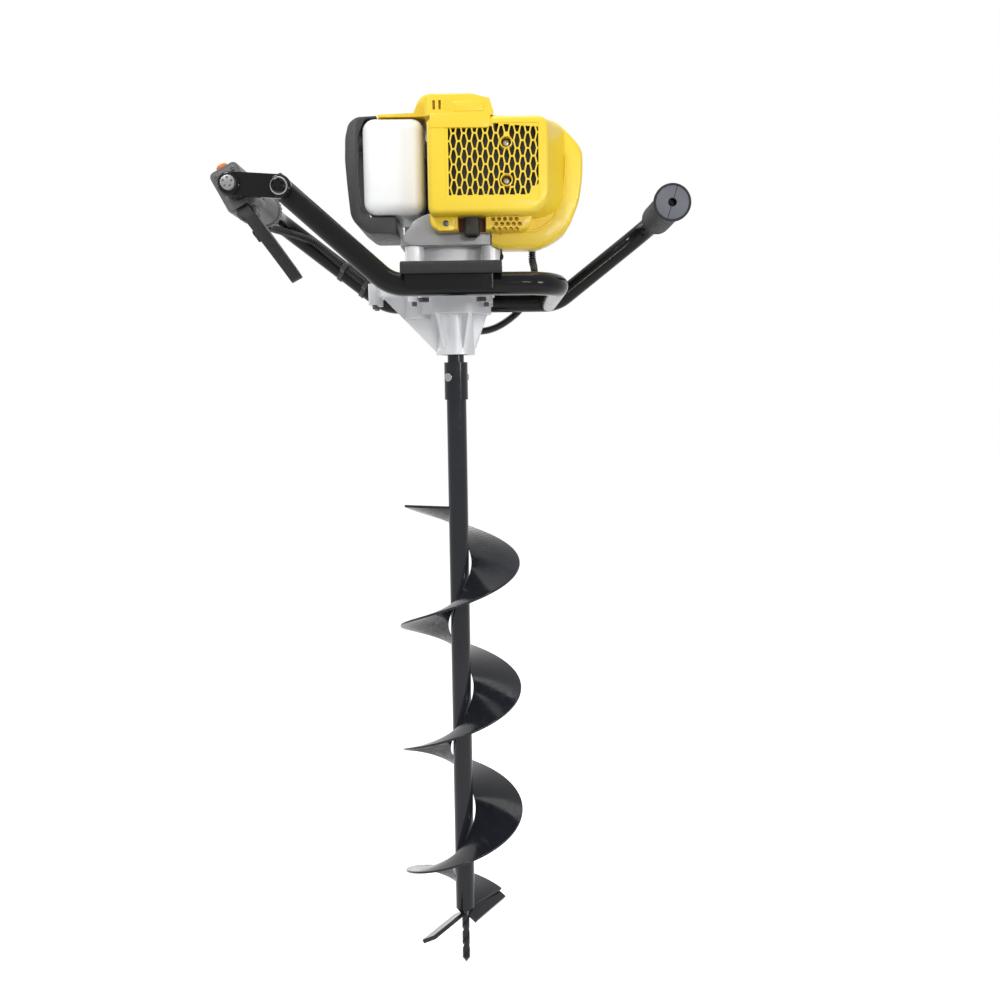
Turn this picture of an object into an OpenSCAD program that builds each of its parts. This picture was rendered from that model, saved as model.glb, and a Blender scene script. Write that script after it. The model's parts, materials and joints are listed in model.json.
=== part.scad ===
// Petrol earth auger: two-stroke engine over a two-stage spur gearbox, a bent-tube
// handle frame with a throttle grip, and a single-flight digging bit.
// Millimetres, +Z up, origin at the tip of the pilot point on the bit's axis.
// The operator's side is -Y.

/* [Digging bit] */
// Outside diameter of the spiral flight
flight_d = 150; // [120:5:200]
// Rise of the flight in one turn
flight_lead = 158; // [130:1:190]
// Thickness of the flight plate
flight_t = 3; // [2.5:0.5:6]
// Outside diameter of the bit's tube
bit_tube_d = 24; // [22:0.5:28]
// Wall of the bit's tube
bit_tube_wall = 3; // [2.5:0.5:4]
// Height of the tube's lower end above the tip
bit_tube_z0 = 74; // [70:1:78]
// Height of the left side of the lowest turn
flight_left_z = 125; // [121:1:128]
// Diameter of the fluted pilot point
pilot_d = 9.5; // [8:0.5:12]
// Length of a cutting blade, outwards
blade_len = 62; // [55:1:66]
// Width of a cutting blade
blade_w = 20; // [16:1:26]
// Thickness of a cutting blade
blade_t = 5; // [4:0.5:7]
// Outside diameter of the coupling socket
coupler_d = 28.5; // [28:0.5:34]
// Length of the coupling socket
coupler_len = 45; // [42:1:50]
// Diameter of the coupling bolt
coupler_bolt_d = 8; // [6:0.5:10]

/* [Gearbox] */
// Height of the spout's lower face above the tip
spout_z = 776; // [770:1:790]
// Diameter of the output shaft
out_shaft_d = 20; // [18:0.5:21]
// Diameter of the countershaft and the input shaft
shaft_d = 12; // [10:0.5:12]
// Gear module
gear_m = 1.5; // [1.4:0.02:1.52]
// Teeth on each pinion
pinion_z = 10; // [10:1:11]
// Teeth on each wheel
wheel_z = 50; // [48:1:50]
// Face width of the gears
gear_w = 10; // [8:0.5:11]
// Wall of the gearbox castings
case_wall = 4; // [3.5:0.5:5]
// Diameter of the gearbox screws
case_screw_d = 6; // [5:0.5:6]

/* [Frame] */
// Outside diameter of the handle tubes
rail_d = 25; // [22:0.5:25.5]
// Wall of the handle tubes
rail_wall = 2; // [1.5:0.25:3]
// Distance of each rail from the bit's axis, front and back
rail_y = 130; // [125:1:140]
// Height of the rails' axes above the tip
rail_z = 848; // [844:1:848]
// Bend radius of the handle tubes
bend_r = 42; // [38:1:46]
// Slope of the rear rail's arms
arm_slope = 38; // [35:1:41]
// Slope of the front rail's arm
front_slope = 42; // [39:1:45]
// Place of the right grip's axis across the frame
grip_right_x = 257; // [250:1:270]
// Place of the left grip's axis across the frame
grip_left_x = -231; // [-241:1:-223]
// Length of the right rubber grip
grip_len = 126; // [110:1:128]
// Outside diameter of the rubber grip
grip_d = 38; // [34:0.5:40]
// Length of the rubber pads along the rails
pad_len = 109; // [100:1:112]

/* [Engine] */
// Gap between the gearbox and the crankcase, where the posts stand
post_h = 24; // [22:1:28]
// Diameter of the posts
post_d = 22; // [18:0.5:24]
// Height of the crankcase
case_h = 100; // [96:1:104]
// Cylinder bore
bore_d = 44; // [40:0.5:46]
// Piston stroke
stroke = 34; // [30:1:36]
// Number of cylinder fins
fin_count = 7; // [5:1:8]
// Wall of the plastic covers
shell = 2.5; // [2:0.25:3]
// Width of the fuel tank
tank_w = 70; // [64:1:72]
// Depth of the fuel tank, front to back
tank_depth = 124; // [110:1:128]
// Height of the fuel tank
tank_h = 107; // [100:1:110]
// Rounding of the tank's corners
tank_round = 14; // [8:1:18]
// Length of starter rope that can be pulled out
pull_len = 500; // [400:10:700]

/* [Throttle] */
// Length of the throttle lever
lever_len = 128; // [115:1:135]
// Droop of the released lever below the grip's axis
lever_droop = 33; // [30:1:36]
// Outside diameter of the left grip sleeve
sleeve_d = 36; // [32:0.5:38]
// Outside diameter of the ribbed cable hose
hose_d = 10; // [8:0.5:11]
// Bore of the ribbed cable hose
hose_bore = 6.5; // [5:0.25:7]
// Number of ribs on the cable hose
hose_ribs = 140; // [80:1:200]

/* [Hidden] */
$fn = 48;

// Named clearances
slip = 0.1;
running = 0.05;
air = 0.5;

// Digging bit
tube_top_z = spout_z - 43;
coupler_top_z = spout_z - 9;
coupler_z0 = coupler_top_z - coupler_len;
coupler_bolt_z = coupler_top_z - 18;
coupler_bolt_turn = 236;
shaft_end_z = tube_top_z + 4;
bit_bore_d = bit_tube_d - 2 * bit_tube_wall;
flight_turn0 = 60;
flight_turns = 1185 / 360;
flight_steps = 118;
shoulder_h = 10;
shank_len = 24;
pilot_len = bit_tube_z0 - shoulder_h;
point_h = 7;

// Gear train
pinion_r = gear_m * pinion_z / 2;
wheel_r = gear_m * wheel_z / 2;
centres = pinion_r + wheel_r;
addendum = 0.8 * gear_m;
dedendum = gear_m;
pressure = 25;
backlash = 0.16;
pot_r = wheel_r + addendum + 1.1;
pinion_pot_r = pinion_r + addendum + 1.3;

// Gearbox levels
spout_flange_h = 8;
pot_floor_z = spout_z + 52;
split_z = pot_floor_z + 24;
wheel_low_z = pot_floor_z + 4;
wheel_high_z = split_z + 2;
ceiling_z = wheel_high_z + gear_w + 2;
ear_top_z = split_z + 9;
cover_top_z = split_z + 24;
out_bearing = [32, 7];
small_bearing = [24, 6];
input_bearing = [28, 8];
flange_r = pot_r + 8.5;
deck = 116;
ear_y = 66;
ear_x = 92;
ear_screw_x = 33;
ear_boss_h = 12;

// Frame levels
bracket_t = 5;
bracket_z = ear_top_z;
bracket_lip = 4;
pad_t = 5;
corner_right_x = 129.5;
weld_gap = 0.4;
corner_left_x = -94.5;
corner_front_x = -63.8;
front_leg_x = 119;
grip_right_z = rail_z + (grip_right_x - corner_right_x) * tan(arm_slope);
grip_left_z = rail_z + (corner_left_x - grip_left_x) * tan(arm_slope);
front_end_x = -187;
front_end_z = rail_z + (corner_front_x - front_end_x) * tan(front_slope);
grip_back_y = rail_y - bend_r;
strap_y = -rail_y - rail_d / 2;
left_tube_y0 = strap_y + 1;

// Engine levels, with the crank upright on the bit's axis
case_z = cover_top_z + post_h;
case_top_z = case_z + case_h;
crank_z = case_z + 57;
crank_r = stroke / 2;
post_x = 44;
post_y = 45;
bell_d = 76;
bell_bore = 68.5;
drum_d = 66;
case_r = 36;
recess_r = 42;
crank_d = 16;
crank_bearing = [30, 10];
web_r = 29;
web_t = 9;
rod_gap = 14;
rod_len = 65;
piston_h = 30;
pin_to_crown = 16;
barrel_x0 = 48;
barrel_x1 = 108;
fin_r = 40;
fin_t = 2.4;
flywheel_z = case_top_z + 4;
flywheel_r = 39.5;
flywheel_h = 16;

// Covers, measured on the photographed outline
front_cover_x0 = -24;
front_cover_x1 = 114;
front_cover_z0 = crank_z - 27;
front_cover_z1 = crank_z + 77;
front_cover_y0 = -98;
front_cover_y1 = -60;
front_cover_round = 20;
cowl_y0 = front_cover_y1;
cowl_y1 = 44;
cowl_outline = [
    [51, 87], [70, 87], [118, 81], [134, 67], [151, 48], [151, 19], [147, -10],
    [142, -26], [134, -42], [124, -51], [112, -59], [99, -63], [56, -63], [46, -60], [46, -40], [51, -30]
];
top_z = crank_z + max(111, tank_h + 4);
top_foot_z = crank_z + 76;
top_y0 = -58;
top_y1 = 58;
nose_y = -90;
nose_x = [-25, 50];
nose_z = front_cover_z1 + 0.6;
nose_top = top_z - 10;

// Grille of the muffler cover
cell_w = 5.4;
cell_h = 13.4;
cell_tip = 2.2;
cell_dx = 5.7;
cell_dy = 15.8;
grille_x0 = 0;
grille_x1 = 96;
grille_z0 = crank_z - 6;
grille_z1 = crank_z + 66;
cover_screw_x = 63.5;
cover_screw_z = [crank_z + 7, crank_z + 48];
cover_boss_d = 13;

// Tank
tank_x0 = -100;
tank_z0 = crank_z - 22;
tank_y0 = -64;
neck_x = tank_x0 + tank_w / 2;
neck_z = tank_z0 + tank_h - 30;
neck_d = 28;
neck_len = 12;
cap_d = 40;
cap_h = 18;
tank_wall = 3;
wing_z = tank_z0 + tank_h + 1;

// Intake side, at the back
carb_x = 78;
carb_y0 = cowl_y1;
carb_y1 = 80;
filter_x = [40, 118];
filter_y = [carb_y1, 124];
filter_z = [915, 1002];
primer_d = 10;
primer_travel = 4;
choke_x = 55;
choke_z = 932;

// Starter
pulley_r = 26;
rope_d = 4;
rope_x = pulley_r;
rope_z = crank_z + 97;

// Throttle grip, turned about its own axis
grip_roll = -28;
block_y = [-114, -62];
sleeve_y = [-62, 20];
collar_y = [20, 30];
collar_d = 41;
block_x = [-20, 14];
block_mid = -4;
pivot_y = -96;
pivot_drop = 24;
pivot_d = 5;
lever_w = 14;
lever_t = 9;
lock_w = 14;
lock_t = 5;
lock_y = block_y[1] - 7;
lock_z = 25.5;

// Route of the cable hose, from the throttle grip to the intake
hose_route = [
    [-229, 30, 937], [-228, 48, 937], [-222, 70, 937], [-211, 91, 936], [-199, 105, 933], [-184, 111, 926],
    [-160, 111, 906], [-134, 111, 884], [-110, 111, 866], [-84, 111, 853], [-56, 111, 843],
    [-26, 113, 830], [2, 118, 817], [27, 126, 811], [53, 136, 818], [80, 147, 838],
    [97, 153, 862], [102, 150, 880], [101, 138, 894], [99, 123, 899], [98, 116, 904], [98, 115, 915]
];
clip_marks = [152, 187];

// Unit vector along v
function unit(v) = v / norm(v);

// Matrix whose axes are x, y and z, placed at p
function basis(x, y, z, p) = [
    [x[0], y[0], z[0], p[0]],
    [x[1], y[1], z[1], p[1]],
    [x[2], y[2], z[2], p[2]],
    [0, 0, 0, 1]
];

// Bar of diameter d from a to b
module rod(a, b, d) {
    v = b - a;
    translate(a)
        rotate([0, acos(v[2] / norm(v)), atan2(v[1], v[0])])
            cylinder(d = d, h = norm(v));
}

// Bend of radius r at start, turning from one direction to another
module elbow(start, from, to, r, d) {
    turn = acos(from * to);
    side = unit(to - (to * from) * from);
    multmatrix(basis(side, cross(from, side), from, start))
        translate([r, 0, 0])
            rotate([90, 0, 0])
                rotate([0, 0, 180 - turn])
                    rotate_extrude(angle = turn)
                        translate([r, 0])
                            circle(d = d);
}

// Round bar along a chain of corners, each rounded to radius r; a bend is a little
// thicker than its straights, which end inside it
module bent_rod(corners, r, d) {
    last = len(corners) - 1;
    swell = 0.4;
    bite = 0.8 * sqrt(swell * r / 2);
    dirs = [for (i = [0:last - 1]) unit(corners[i + 1] - corners[i])];
    trims = [for (i = [0:last]) (i == 0 || i == last) ? 0 : r * tan(acos(dirs[i - 1] * dirs[i]) / 2)];
    for (i = [0:last - 1])
        rod(corners[i] + dirs[i] * (i == 0 ? 0 : trims[i] - bite),
            corners[i + 1] - dirs[i] * (i == last - 1 ? 0 : trims[i + 1] - bite), d);
    for (i = [1:last - 1])
        elbow(corners[i] - dirs[i - 1] * trims[i], dirs[i - 1], dirs[i], r, d + swell);
}

// Bent tube with open ends
module bent_tube(corners, r, d, wall) {
    last = len(corners) - 1;
    start = corners[0] - unit(corners[1] - corners[0]);
    end = corners[last] + unit(corners[last] - corners[last - 1]);
    inner = [for (i = [0:last]) i == 0 ? start : i == last ? end : corners[i]];
    difference() {
        bent_rod(corners, r, d);
        bent_rod(inner, r, d - 2 * wall);
    }
}

// Flat ring on the XY plane
module ring(od, id, h) {
    difference() {
        cylinder(d = od, h = h);
        translate([0, 0, -1])
            cylinder(d = id, h = h + 2);
    }
}

// Rounded rectangle from one corner to the opposite one
module round_rect(x0, y0, x1, y1, r) {
    translate([x0 + r, y0])
        square([x1 - x0 - 2 * r, y1 - y0]);
    translate([x0, y0 + r])
        square([x1 - x0, y1 - y0 - 2 * r]);
    for (x = [x0 + r, x1 - r])
        for (y = [y0 + r, y1 - r])
            translate([x, y])
                circle(r = r);
}

// Prism whose outline is drawn in X and Z, from y0 back to y1
module upright(y0, y1) {
    translate([0, y1, 0])
        rotate([90, 0, 0])
            linear_extrude(y1 - y0)
                children();
}

// Prism on the XY plane, from z0 up to z1
module slab(z0, z1) {
    translate([0, 0, z0])
        linear_extrude(z1 - z0)
            children();
}

// Outline of a spur gear with involute flanks
function inv(a) = tan(a) - a * PI / 180;
function half_tooth(r, rp, rb) =
    ((PI * gear_m / 2 - backlash) / (2 * rp) + inv(pressure) - inv(acos(min(1, rb / r)))) * 180 / PI;
function gear_outline(z, phase) =
    let (
        rp = gear_m * z / 2,
        rb = rp * cos(pressure),
        tip = rp + addendum,
        root = rp - dedendum,
        low = max(rb, root),
        radii = [root, low + 0.02, low + (tip - low) / 3, low + 2 * (tip - low) / 3, tip],
        flank = [for (r = radii) [r, half_tooth(max(r, low + 0.02), rp, rb)]]
    )
    [for (k = [0:z - 1])
        for (i = [0:9])
            let (f = i < 5 ? flank[i] : flank[9 - i], a = k * 360 / z + phase + (i < 5 ? -f[1] : f[1]))
                f[0] * [cos(a), sin(a)]];

module gear(z, phase, h) {
    linear_extrude(h)
        polygon(gear_outline(z, phase));
}

// Outline shared by the two gearbox castings
module gearbox_outline(r) {
    circle(r = r);
    translate([-centres, 0])
        circle(r = r);
    translate([-centres, -r])
        square([centres, 2 * r]);
}

// Places of the gearbox screws
function case_screw_places() =
    let (r = flange_r + 2)
    [
        [-centres - r, -11], [-centres - r, 11], [-centres, -r], [-centres, r],
        [r * cos(40), -r * sin(40)], [r * cos(40), r * sin(40)]
    ];

// Placed at each corner post
module at_posts() {
    for (x = [-post_x, post_x])
        for (y = [-post_y, post_y])
            translate([x, y, 0])
                children();
}

// Turned frame of the left grip, with Y along the grip and Z away from the lever
module in_grip() {
    translate([grip_left_x, 0, grip_left_z])
        rotate([0, grip_roll, 0])
            children();
}

// Digging bit

module auger_tube() {
    color("dimgray")
        translate([0, 0, bit_tube_z0])
            ring(bit_tube_d, bit_bore_d, tube_top_z - bit_tube_z0);
}

module auger_flight() {
    r_in = bit_tube_d / 2 + 0.2;
    r_out = flight_d / 2;
    z0 = flight_left_z + flight_lead * (flight_turn0 - 180) / 360;
    rows = [for (i = [0:flight_steps])
        let (turned = flight_turns * i / flight_steps, a = flight_turn0 + 360 * turned, z = z0 + flight_lead * turned)
            [[r_in * cos(a), r_in * sin(a), z - flight_t / 2], [r_out * cos(a), r_out * sin(a), z - flight_t / 2],
             [r_out * cos(a), r_out * sin(a), z + flight_t / 2], [r_in * cos(a), r_in * sin(a), z + flight_t / 2]]];
    points = [for (row = rows) for (p = row) p];
    sides = [for (i = [0:flight_steps - 1]) for (j = [0:3])
        let (a = 4 * i + j, b = 4 * i + (j + 1) % 4)
            each [[a, a + 4, b + 4], [a, b + 4, b]]];
    last = 4 * flight_steps;
    color("dimgray")
        polyhedron(points, concat(sides, [[0, 1, 2], [0, 2, 3], [last, last + 2, last + 1], [last, last + 3, last + 2]]));
}

module cutting_blades() {
    pitch = 30;
    root_z = flight_left_z + flight_lead * (flight_turn0 - 180) / 360 - flight_t / 2 - 1;
    color("gray")
        for (turn = [flight_turn0, flight_turn0 + 180])
            rotate([0, 0, turn])
                difference() {
                    translate([0, 0, root_z])
                        rotate([pitch, 0, 0])
                            translate([0, -blade_w, -blade_t])
                                cube([bit_tube_d / 2 + blade_len, blade_w, blade_t]);
                    translate([0, 0, bit_tube_z0])
                        cylinder(d = bit_tube_d + slip, h = 40);
                    translate([0, 0, pilot_len])
                        cylinder(d1 = pilot_d + slip, d2 = bit_tube_d + slip, h = shoulder_h + 0.01);
                    translate([0, 0, pilot_len - 30])
                        cylinder(d = pilot_d + 1, h = 30.01);
                }
}

module pilot_point() {
    flute = pilot_d / 3;
    color("dimgray") {
        translate([0, 0, bit_tube_z0])
            cylinder(d = bit_bore_d, h = shank_len);
        translate([0, 0, pilot_len])
            cylinder(d1 = pilot_d, d2 = bit_tube_d, h = shoulder_h);
        intersection() {
            linear_extrude(pilot_len + 0.5, twist = -540, slices = 27)
                difference() {
                    circle(d = pilot_d, $fn = 14);
                    for (side = [-1, 1])
                        translate([side * pilot_d * 0.52, 0])
                            circle(r = flute, $fn = 8);
                }
            union() {
                cylinder(d1 = 0.6, d2 = pilot_d + 1, h = point_h, $fn = 20);
                translate([0, 0, point_h])
                    cylinder(d = pilot_d + 1, h = pilot_len, $fn = 20);
            }
        }
    }
}

module bit_coupler() {
    color("dimgray")
        difference() {
            translate([0, 0, coupler_z0])
                cylinder(d = coupler_d, h = coupler_len);
            translate([0, 0, coupler_z0 - 1])
                cylinder(d = bit_tube_d, h = tube_top_z - coupler_z0 + 1);
            translate([0, 0, tube_top_z - 1])
                cylinder(d = out_shaft_d + slip, h = coupler_top_z - tube_top_z + 2);
            translate([0, 0, coupler_bolt_z])
                rotate([0, 90, coupler_bolt_turn])
                    cylinder(d = coupler_bolt_d + slip, h = 2 * coupler_d, center = true);
        }
}

module coupler_bolt() {
    head = 2.4;
    color("silver")
        translate([0, 0, coupler_bolt_z])
            rotate([0, 90, coupler_bolt_turn]) {
                translate([0, 0, -coupler_d / 2 - 6])
                    cylinder(d = coupler_bolt_d, h = coupler_d + 6);
                translate([0, 0, coupler_d / 2])
                    cylinder(d = coupler_bolt_d * 1.25, h = head);
            }
}

module coupler_nut() {
    color("silver")
        translate([0, 0, coupler_bolt_z])
            rotate([0, 90, coupler_bolt_turn])
                translate([0, 0, -coupler_d / 2 - 5])
                    difference() {
                        cylinder(d = coupler_bolt_d * 1.6, h = 5, $fn = 6);
                        translate([0, 0, -1])
                            cylinder(d = coupler_bolt_d, h = 9);
                    }
}

// Gear train

module output_shaft() {
    color("dimgray")
        difference() {
            translate([0, 0, shaft_end_z])
                cylinder(d = out_shaft_d, h = wheel_low_z + gear_w + 3 - shaft_end_z);
            translate([0, 0, coupler_bolt_z])
                rotate([0, 90, coupler_bolt_turn])
                    cylinder(d = coupler_bolt_d + slip, h = 2 * out_shaft_d, center = true);
        }
}

module output_gear() {
    color("slategray")
        translate([0, 0, wheel_low_z])
            difference() {
                gear(wheel_z, 180 / wheel_z + 180, gear_w);
                translate([0, 0, -1])
                    cylinder(d = out_shaft_d, h = gear_w + 2);
            }
}

module countershaft() {
    color("slategray")
        translate([-centres, 0, 0]) {
            translate([0, 0, pot_floor_z - small_bearing[1]])
                cylinder(d = shaft_d, h = ceiling_z + small_bearing[1] - pot_floor_z + small_bearing[1]);
            translate([0, 0, wheel_low_z - 1])
                gear(pinion_z, 0, gear_w + 2);
        }
}

module countershaft_gear() {
    color("slategray")
        translate([-centres, 0, wheel_high_z])
            difference() {
                gear(wheel_z, 180 / wheel_z, gear_w);
                translate([0, 0, -1])
                    cylinder(d = shaft_d, h = gear_w + 2);
            }
}

module input_shaft() {
    color("slategray") {
        translate([0, 0, split_z + 1])
            cylinder(d = shaft_d, h = cover_top_z + 8 - split_z - 1);
        translate([0, 0, wheel_high_z - 0.5])
            gear(pinion_z, 180, gear_w + 1);
    }
}

module clutch_drum() {
    hub = 24;
    rim_h = 17;
    web = 3;
    color("gray")
        translate([0, 0, cover_top_z + 1])
            difference() {
                union() {
                    cylinder(d = hub, h = 7 + web);
                    translate([0, 0, 7])
                        cylinder(d = drum_d, h = rim_h);
                }
                translate([0, 0, 7 + web])
                    cylinder(d = drum_d - 5, h = rim_h);
                translate([0, 0, -1])
                    cylinder(d = shaft_d, h = 8);
            }
}

// Crank, piston and clutch

module crankshaft() {
    color("gray") {
        translate([0, 0, cover_top_z + 14])
            cylinder(d = crank_d, h = crank_z - rod_gap / 2 - cover_top_z - 14);
        for (side = [-1, 1])
            translate([0, 0, crank_z + side * (rod_gap + web_t) / 2 - web_t / 2])
                cylinder(r = web_r, h = web_t);
        translate([0, 0, crank_z + rod_gap / 2])
            cylinder(d = crank_d, h = flywheel_z + flywheel_h + 4 - crank_z - rod_gap / 2);
        translate([0, 0, crank_z - rod_gap / 2 - 0.5])
            cylinder(d = crank_d / 2, h = rod_gap + 1);
    }
}

module flywheel() {
    vanes = 18;
    vane_h = 9;
    color("lightgray")
        translate([0, 0, flywheel_z])
            difference() {
                union() {
                    cylinder(r = flywheel_r, h = flywheel_h - vane_h);
                    cylinder(d = crank_d + 14, h = flywheel_h);
                    for (i = [0:vanes - 1])
                        rotate([0, 0, 360 * i / vanes])
                            translate([flywheel_r - 19, -1.1, 0])
                                cube([18, 2.2, flywheel_h]);
                }
                translate([0, 0, -1])
                    cylinder(d = crank_d, h = flywheel_h + 2);
            }
}

module clutch_shoes() {
    r = drum_d / 2 - 2.5 - 1.2;
    color("brown")
        translate([0, 0, cover_top_z + 13])
            for (side = [0, 180])
                rotate([0, 0, side])
                    intersection() {
                        ring(2 * r, crank_d, 11);
                        translate([1.5, -r, -1])
                            cube([r, 2 * r, 14]);
                    }
}

module piston() {
    crown_x = crank_r + rod_len + pin_to_crown;
    color("lightgray")
        translate([crown_x - piston_h, 0, crank_z])
            rotate([0, 90, 0])
                difference() {
                    cylinder(d = bore_d - 2 * running, h = piston_h);
                    translate([0, 0, -1])
                        cylinder(d = bore_d - 8, h = piston_h - 6);
                }
}

module connecting_rod() {
    foot_d = 12;
    foot_x = stroke + crank_d / 4 + foot_d / 2 + 1;
    small = 16;
    wide = rod_gap - 4;
    color("gray")
        translate([0, 0, crank_z - wide / 2])
            difference() {
                union() {
                    translate([crank_r + rod_len, 0, 0])
                        cylinder(d = small, h = wide);
                    translate([foot_x, -4, 0])
                        cube([crank_r + rod_len - foot_x, 8, wide]);
                    translate([foot_x, 0, 0])
                        cylinder(d = foot_d, h = wide);
                }
                translate([crank_r + rod_len, 0, -1])
                    cylinder(d = 10, h = wide + 2);
            }
}

// Gearbox castings

module gearbox_housing() {
    neck_d = out_bearing[0] + 13.4;
    flange_d = out_bearing[0] + 15;
    web_x = -centres - flange_r + 8;
    color("gainsboro")
        difference() {
            union() {
                slab(split_z - 7, split_z)
                    gearbox_outline(flange_r);
                translate([0, 0, pot_floor_z - case_wall])
                    cylinder(r = pot_r + case_wall, h = split_z - pot_floor_z + case_wall - 1);
                translate([-centres, 0, pot_floor_z - small_bearing[1] - 3])
                    cylinder(d = small_bearing[0] + 8, h = split_z - pot_floor_z + 6);
                translate([0, 0, spout_z])
                    cylinder(d = flange_d, h = spout_flange_h);
                translate([0, 0, spout_z + 1])
                    cylinder(d = neck_d, h = pot_floor_z - spout_z);
                for (turn = [0:60:300])
                    rotate([0, 0, turn])
                        upright(-2.5, 2.5)
                            polygon([[0, spout_z + spout_flange_h], [neck_d / 2 + 2, spout_z + spout_flange_h],
                                     [pot_r, pot_floor_z - 2], [0, pot_floor_z - 2]]);
                upright(-4, 4)
                    polygon([[0, spout_z + 3], [-neck_d / 2, spout_z + 3], [web_x, split_z - 8],
                             [web_x, split_z - 2], [0, split_z - 2]]);
                for (p = case_screw_places())
                    translate([p[0], p[1], split_z - 16])
                        cylinder(d = case_screw_d + 9, h = 16);
            }
            translate([0, 0, pot_floor_z])
                cylinder(r = pot_r, h = split_z - pot_floor_z + 1);
            translate([-centres, 0, pot_floor_z])
                cylinder(r = pinion_pot_r, h = split_z - pot_floor_z + 1);
            translate([-centres, 0, pot_floor_z - small_bearing[1] - 1])
                cylinder(d = small_bearing[0], h = small_bearing[1] + 2);
            translate([0, 0, spout_z - 1])
                cylinder(d = out_shaft_d + 4, h = pot_floor_z - spout_z + 2);
            translate([0, 0, spout_z - 1])
                cylinder(d = out_bearing[0], h = out_bearing[1] + 3);
            translate([0, 0, pot_floor_z - out_bearing[1]])
                cylinder(d = out_bearing[0], h = out_bearing[1] + 1);
            for (p = case_screw_places())
                translate([p[0], p[1], split_z - 20])
                    cylinder(d = case_screw_d, h = 30);
            for (side = [-1, 1])
                for (x = [-ear_screw_x, ear_screw_x])
                    translate([x, side * (ear_y - 8), split_z - ear_boss_h - 1])
                        cylinder(d = case_screw_d + 10, h = ear_boss_h + 2);
        }
}

module gearbox_cover() {
    color("gainsboro")
        difference() {
            union() {
                slab(split_z, ear_top_z)
                    gearbox_outline(flange_r);
                slab(split_z, ear_top_z)
                    round_rect(-ear_x / 2, -ear_y, ear_x / 2, ear_y, 6);
                slab(split_z, cover_top_z - 4)
                    gearbox_outline(pot_r + case_wall);
                slab(cover_top_z - 8, cover_top_z)
                    round_rect(-deck / 2, -deck / 2, deck / 2, deck / 2, 10);
                for (p = case_screw_places())
                    translate([p[0], p[1], split_z])
                        cylinder(d = case_screw_d + 9, h = ear_top_z - split_z);
                for (side = [-1, 1])
                    for (x = [-ear_screw_x, ear_screw_x])
                        translate([x, side * (ear_y - 8), split_z - ear_boss_h])
                            cylinder(d = case_screw_d + 9, h = ear_boss_h + 1);
            }
            translate([-centres, 0, split_z - 1])
                cylinder(r = pot_r, h = ceiling_z - split_z + 1);
            translate([0, 0, split_z - 1])
                cylinder(r = pinion_pot_r, h = ceiling_z - split_z + 1);
            translate([-centres, 0, ceiling_z - 1])
                cylinder(d = small_bearing[0], h = small_bearing[1] + 1);
            translate([0, 0, cover_top_z - input_bearing[1]])
                cylinder(d = input_bearing[0], h = input_bearing[1] + 1);
            translate([0, 0, ceiling_z - 1])
                cylinder(d = shaft_d + 4, h = 20);
            for (p = case_screw_places())
                translate([p[0], p[1], split_z - 1])
                    cylinder(d = case_screw_d + 2 * slip, h = ear_top_z - split_z + 2);
            at_posts()
                translate([0, 0, cover_top_z - 9])
                    cylinder(d = 8, h = 10);
            for (side = [-1, 1])
                for (x = [-ear_screw_x, ear_screw_x])
                    translate([x, side * (ear_y - 8), split_z - ear_boss_h - 1])
                        cylinder(d = case_screw_d + 2 * slip, h = ear_top_z - split_z + ear_boss_h + 2);
        }
}

module gearbox_screws() {
    head = 5;
    low_head = 1.8;
    color("dimgray") {
        for (p = case_screw_places())
            translate([p[0], p[1], split_z - 21]) {
                cylinder(d = case_screw_d, h = ear_top_z - split_z + 21);
                translate([0, 0, ear_top_z - split_z + 21])
                    cylinder(d = case_screw_d * 1.7, h = head);
            }
        for (side = [-1, 1])
            for (x = [-ear_screw_x, ear_screw_x])
                translate([x, side * (ear_y - 8), split_z - ear_boss_h]) {
                    translate([0, 0, -1])
                        cylinder(d = case_screw_d, h = bracket_z + bracket_t - split_z + ear_boss_h + 1);
                    translate([0, 0, bracket_z + bracket_t - split_z + ear_boss_h])
                        cylinder(d = case_screw_d * 1.7, h = low_head, $fn = 6);
                    translate([0, 0, -head])
                        cylinder(d = case_screw_d * 1.9, h = head, $fn = 6);
                }
    }
}

module shaft_bearings() {
    color("silver") {
        for (z = [spout_z + 2, pot_floor_z - out_bearing[1]])
            translate([0, 0, z])
                ring(out_bearing[0], out_shaft_d + 2 * running, out_bearing[1]);
        for (z = [pot_floor_z - small_bearing[1], ceiling_z])
            translate([-centres, 0, z])
                ring(small_bearing[0], shaft_d + 2 * running, small_bearing[1]);
        translate([0, 0, cover_top_z - input_bearing[1]])
            ring(input_bearing[0], shaft_d + 2 * running, input_bearing[1]);
        for (z = [case_z + 9, case_top_z - crank_bearing[1] - 2])
            translate([0, 0, z])
                ring(crank_bearing[0], crank_d + 2 * running, crank_bearing[1]);
    }
}

// Engine

module engine_posts() {
    color("silver")
        at_posts() {
            translate([0, 0, cover_top_z - 8])
                cylinder(d = 8, h = post_h + 15);
            translate([0, 0, cover_top_z])
                cylinder(d = post_d, h = post_h);
        }
}

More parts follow.
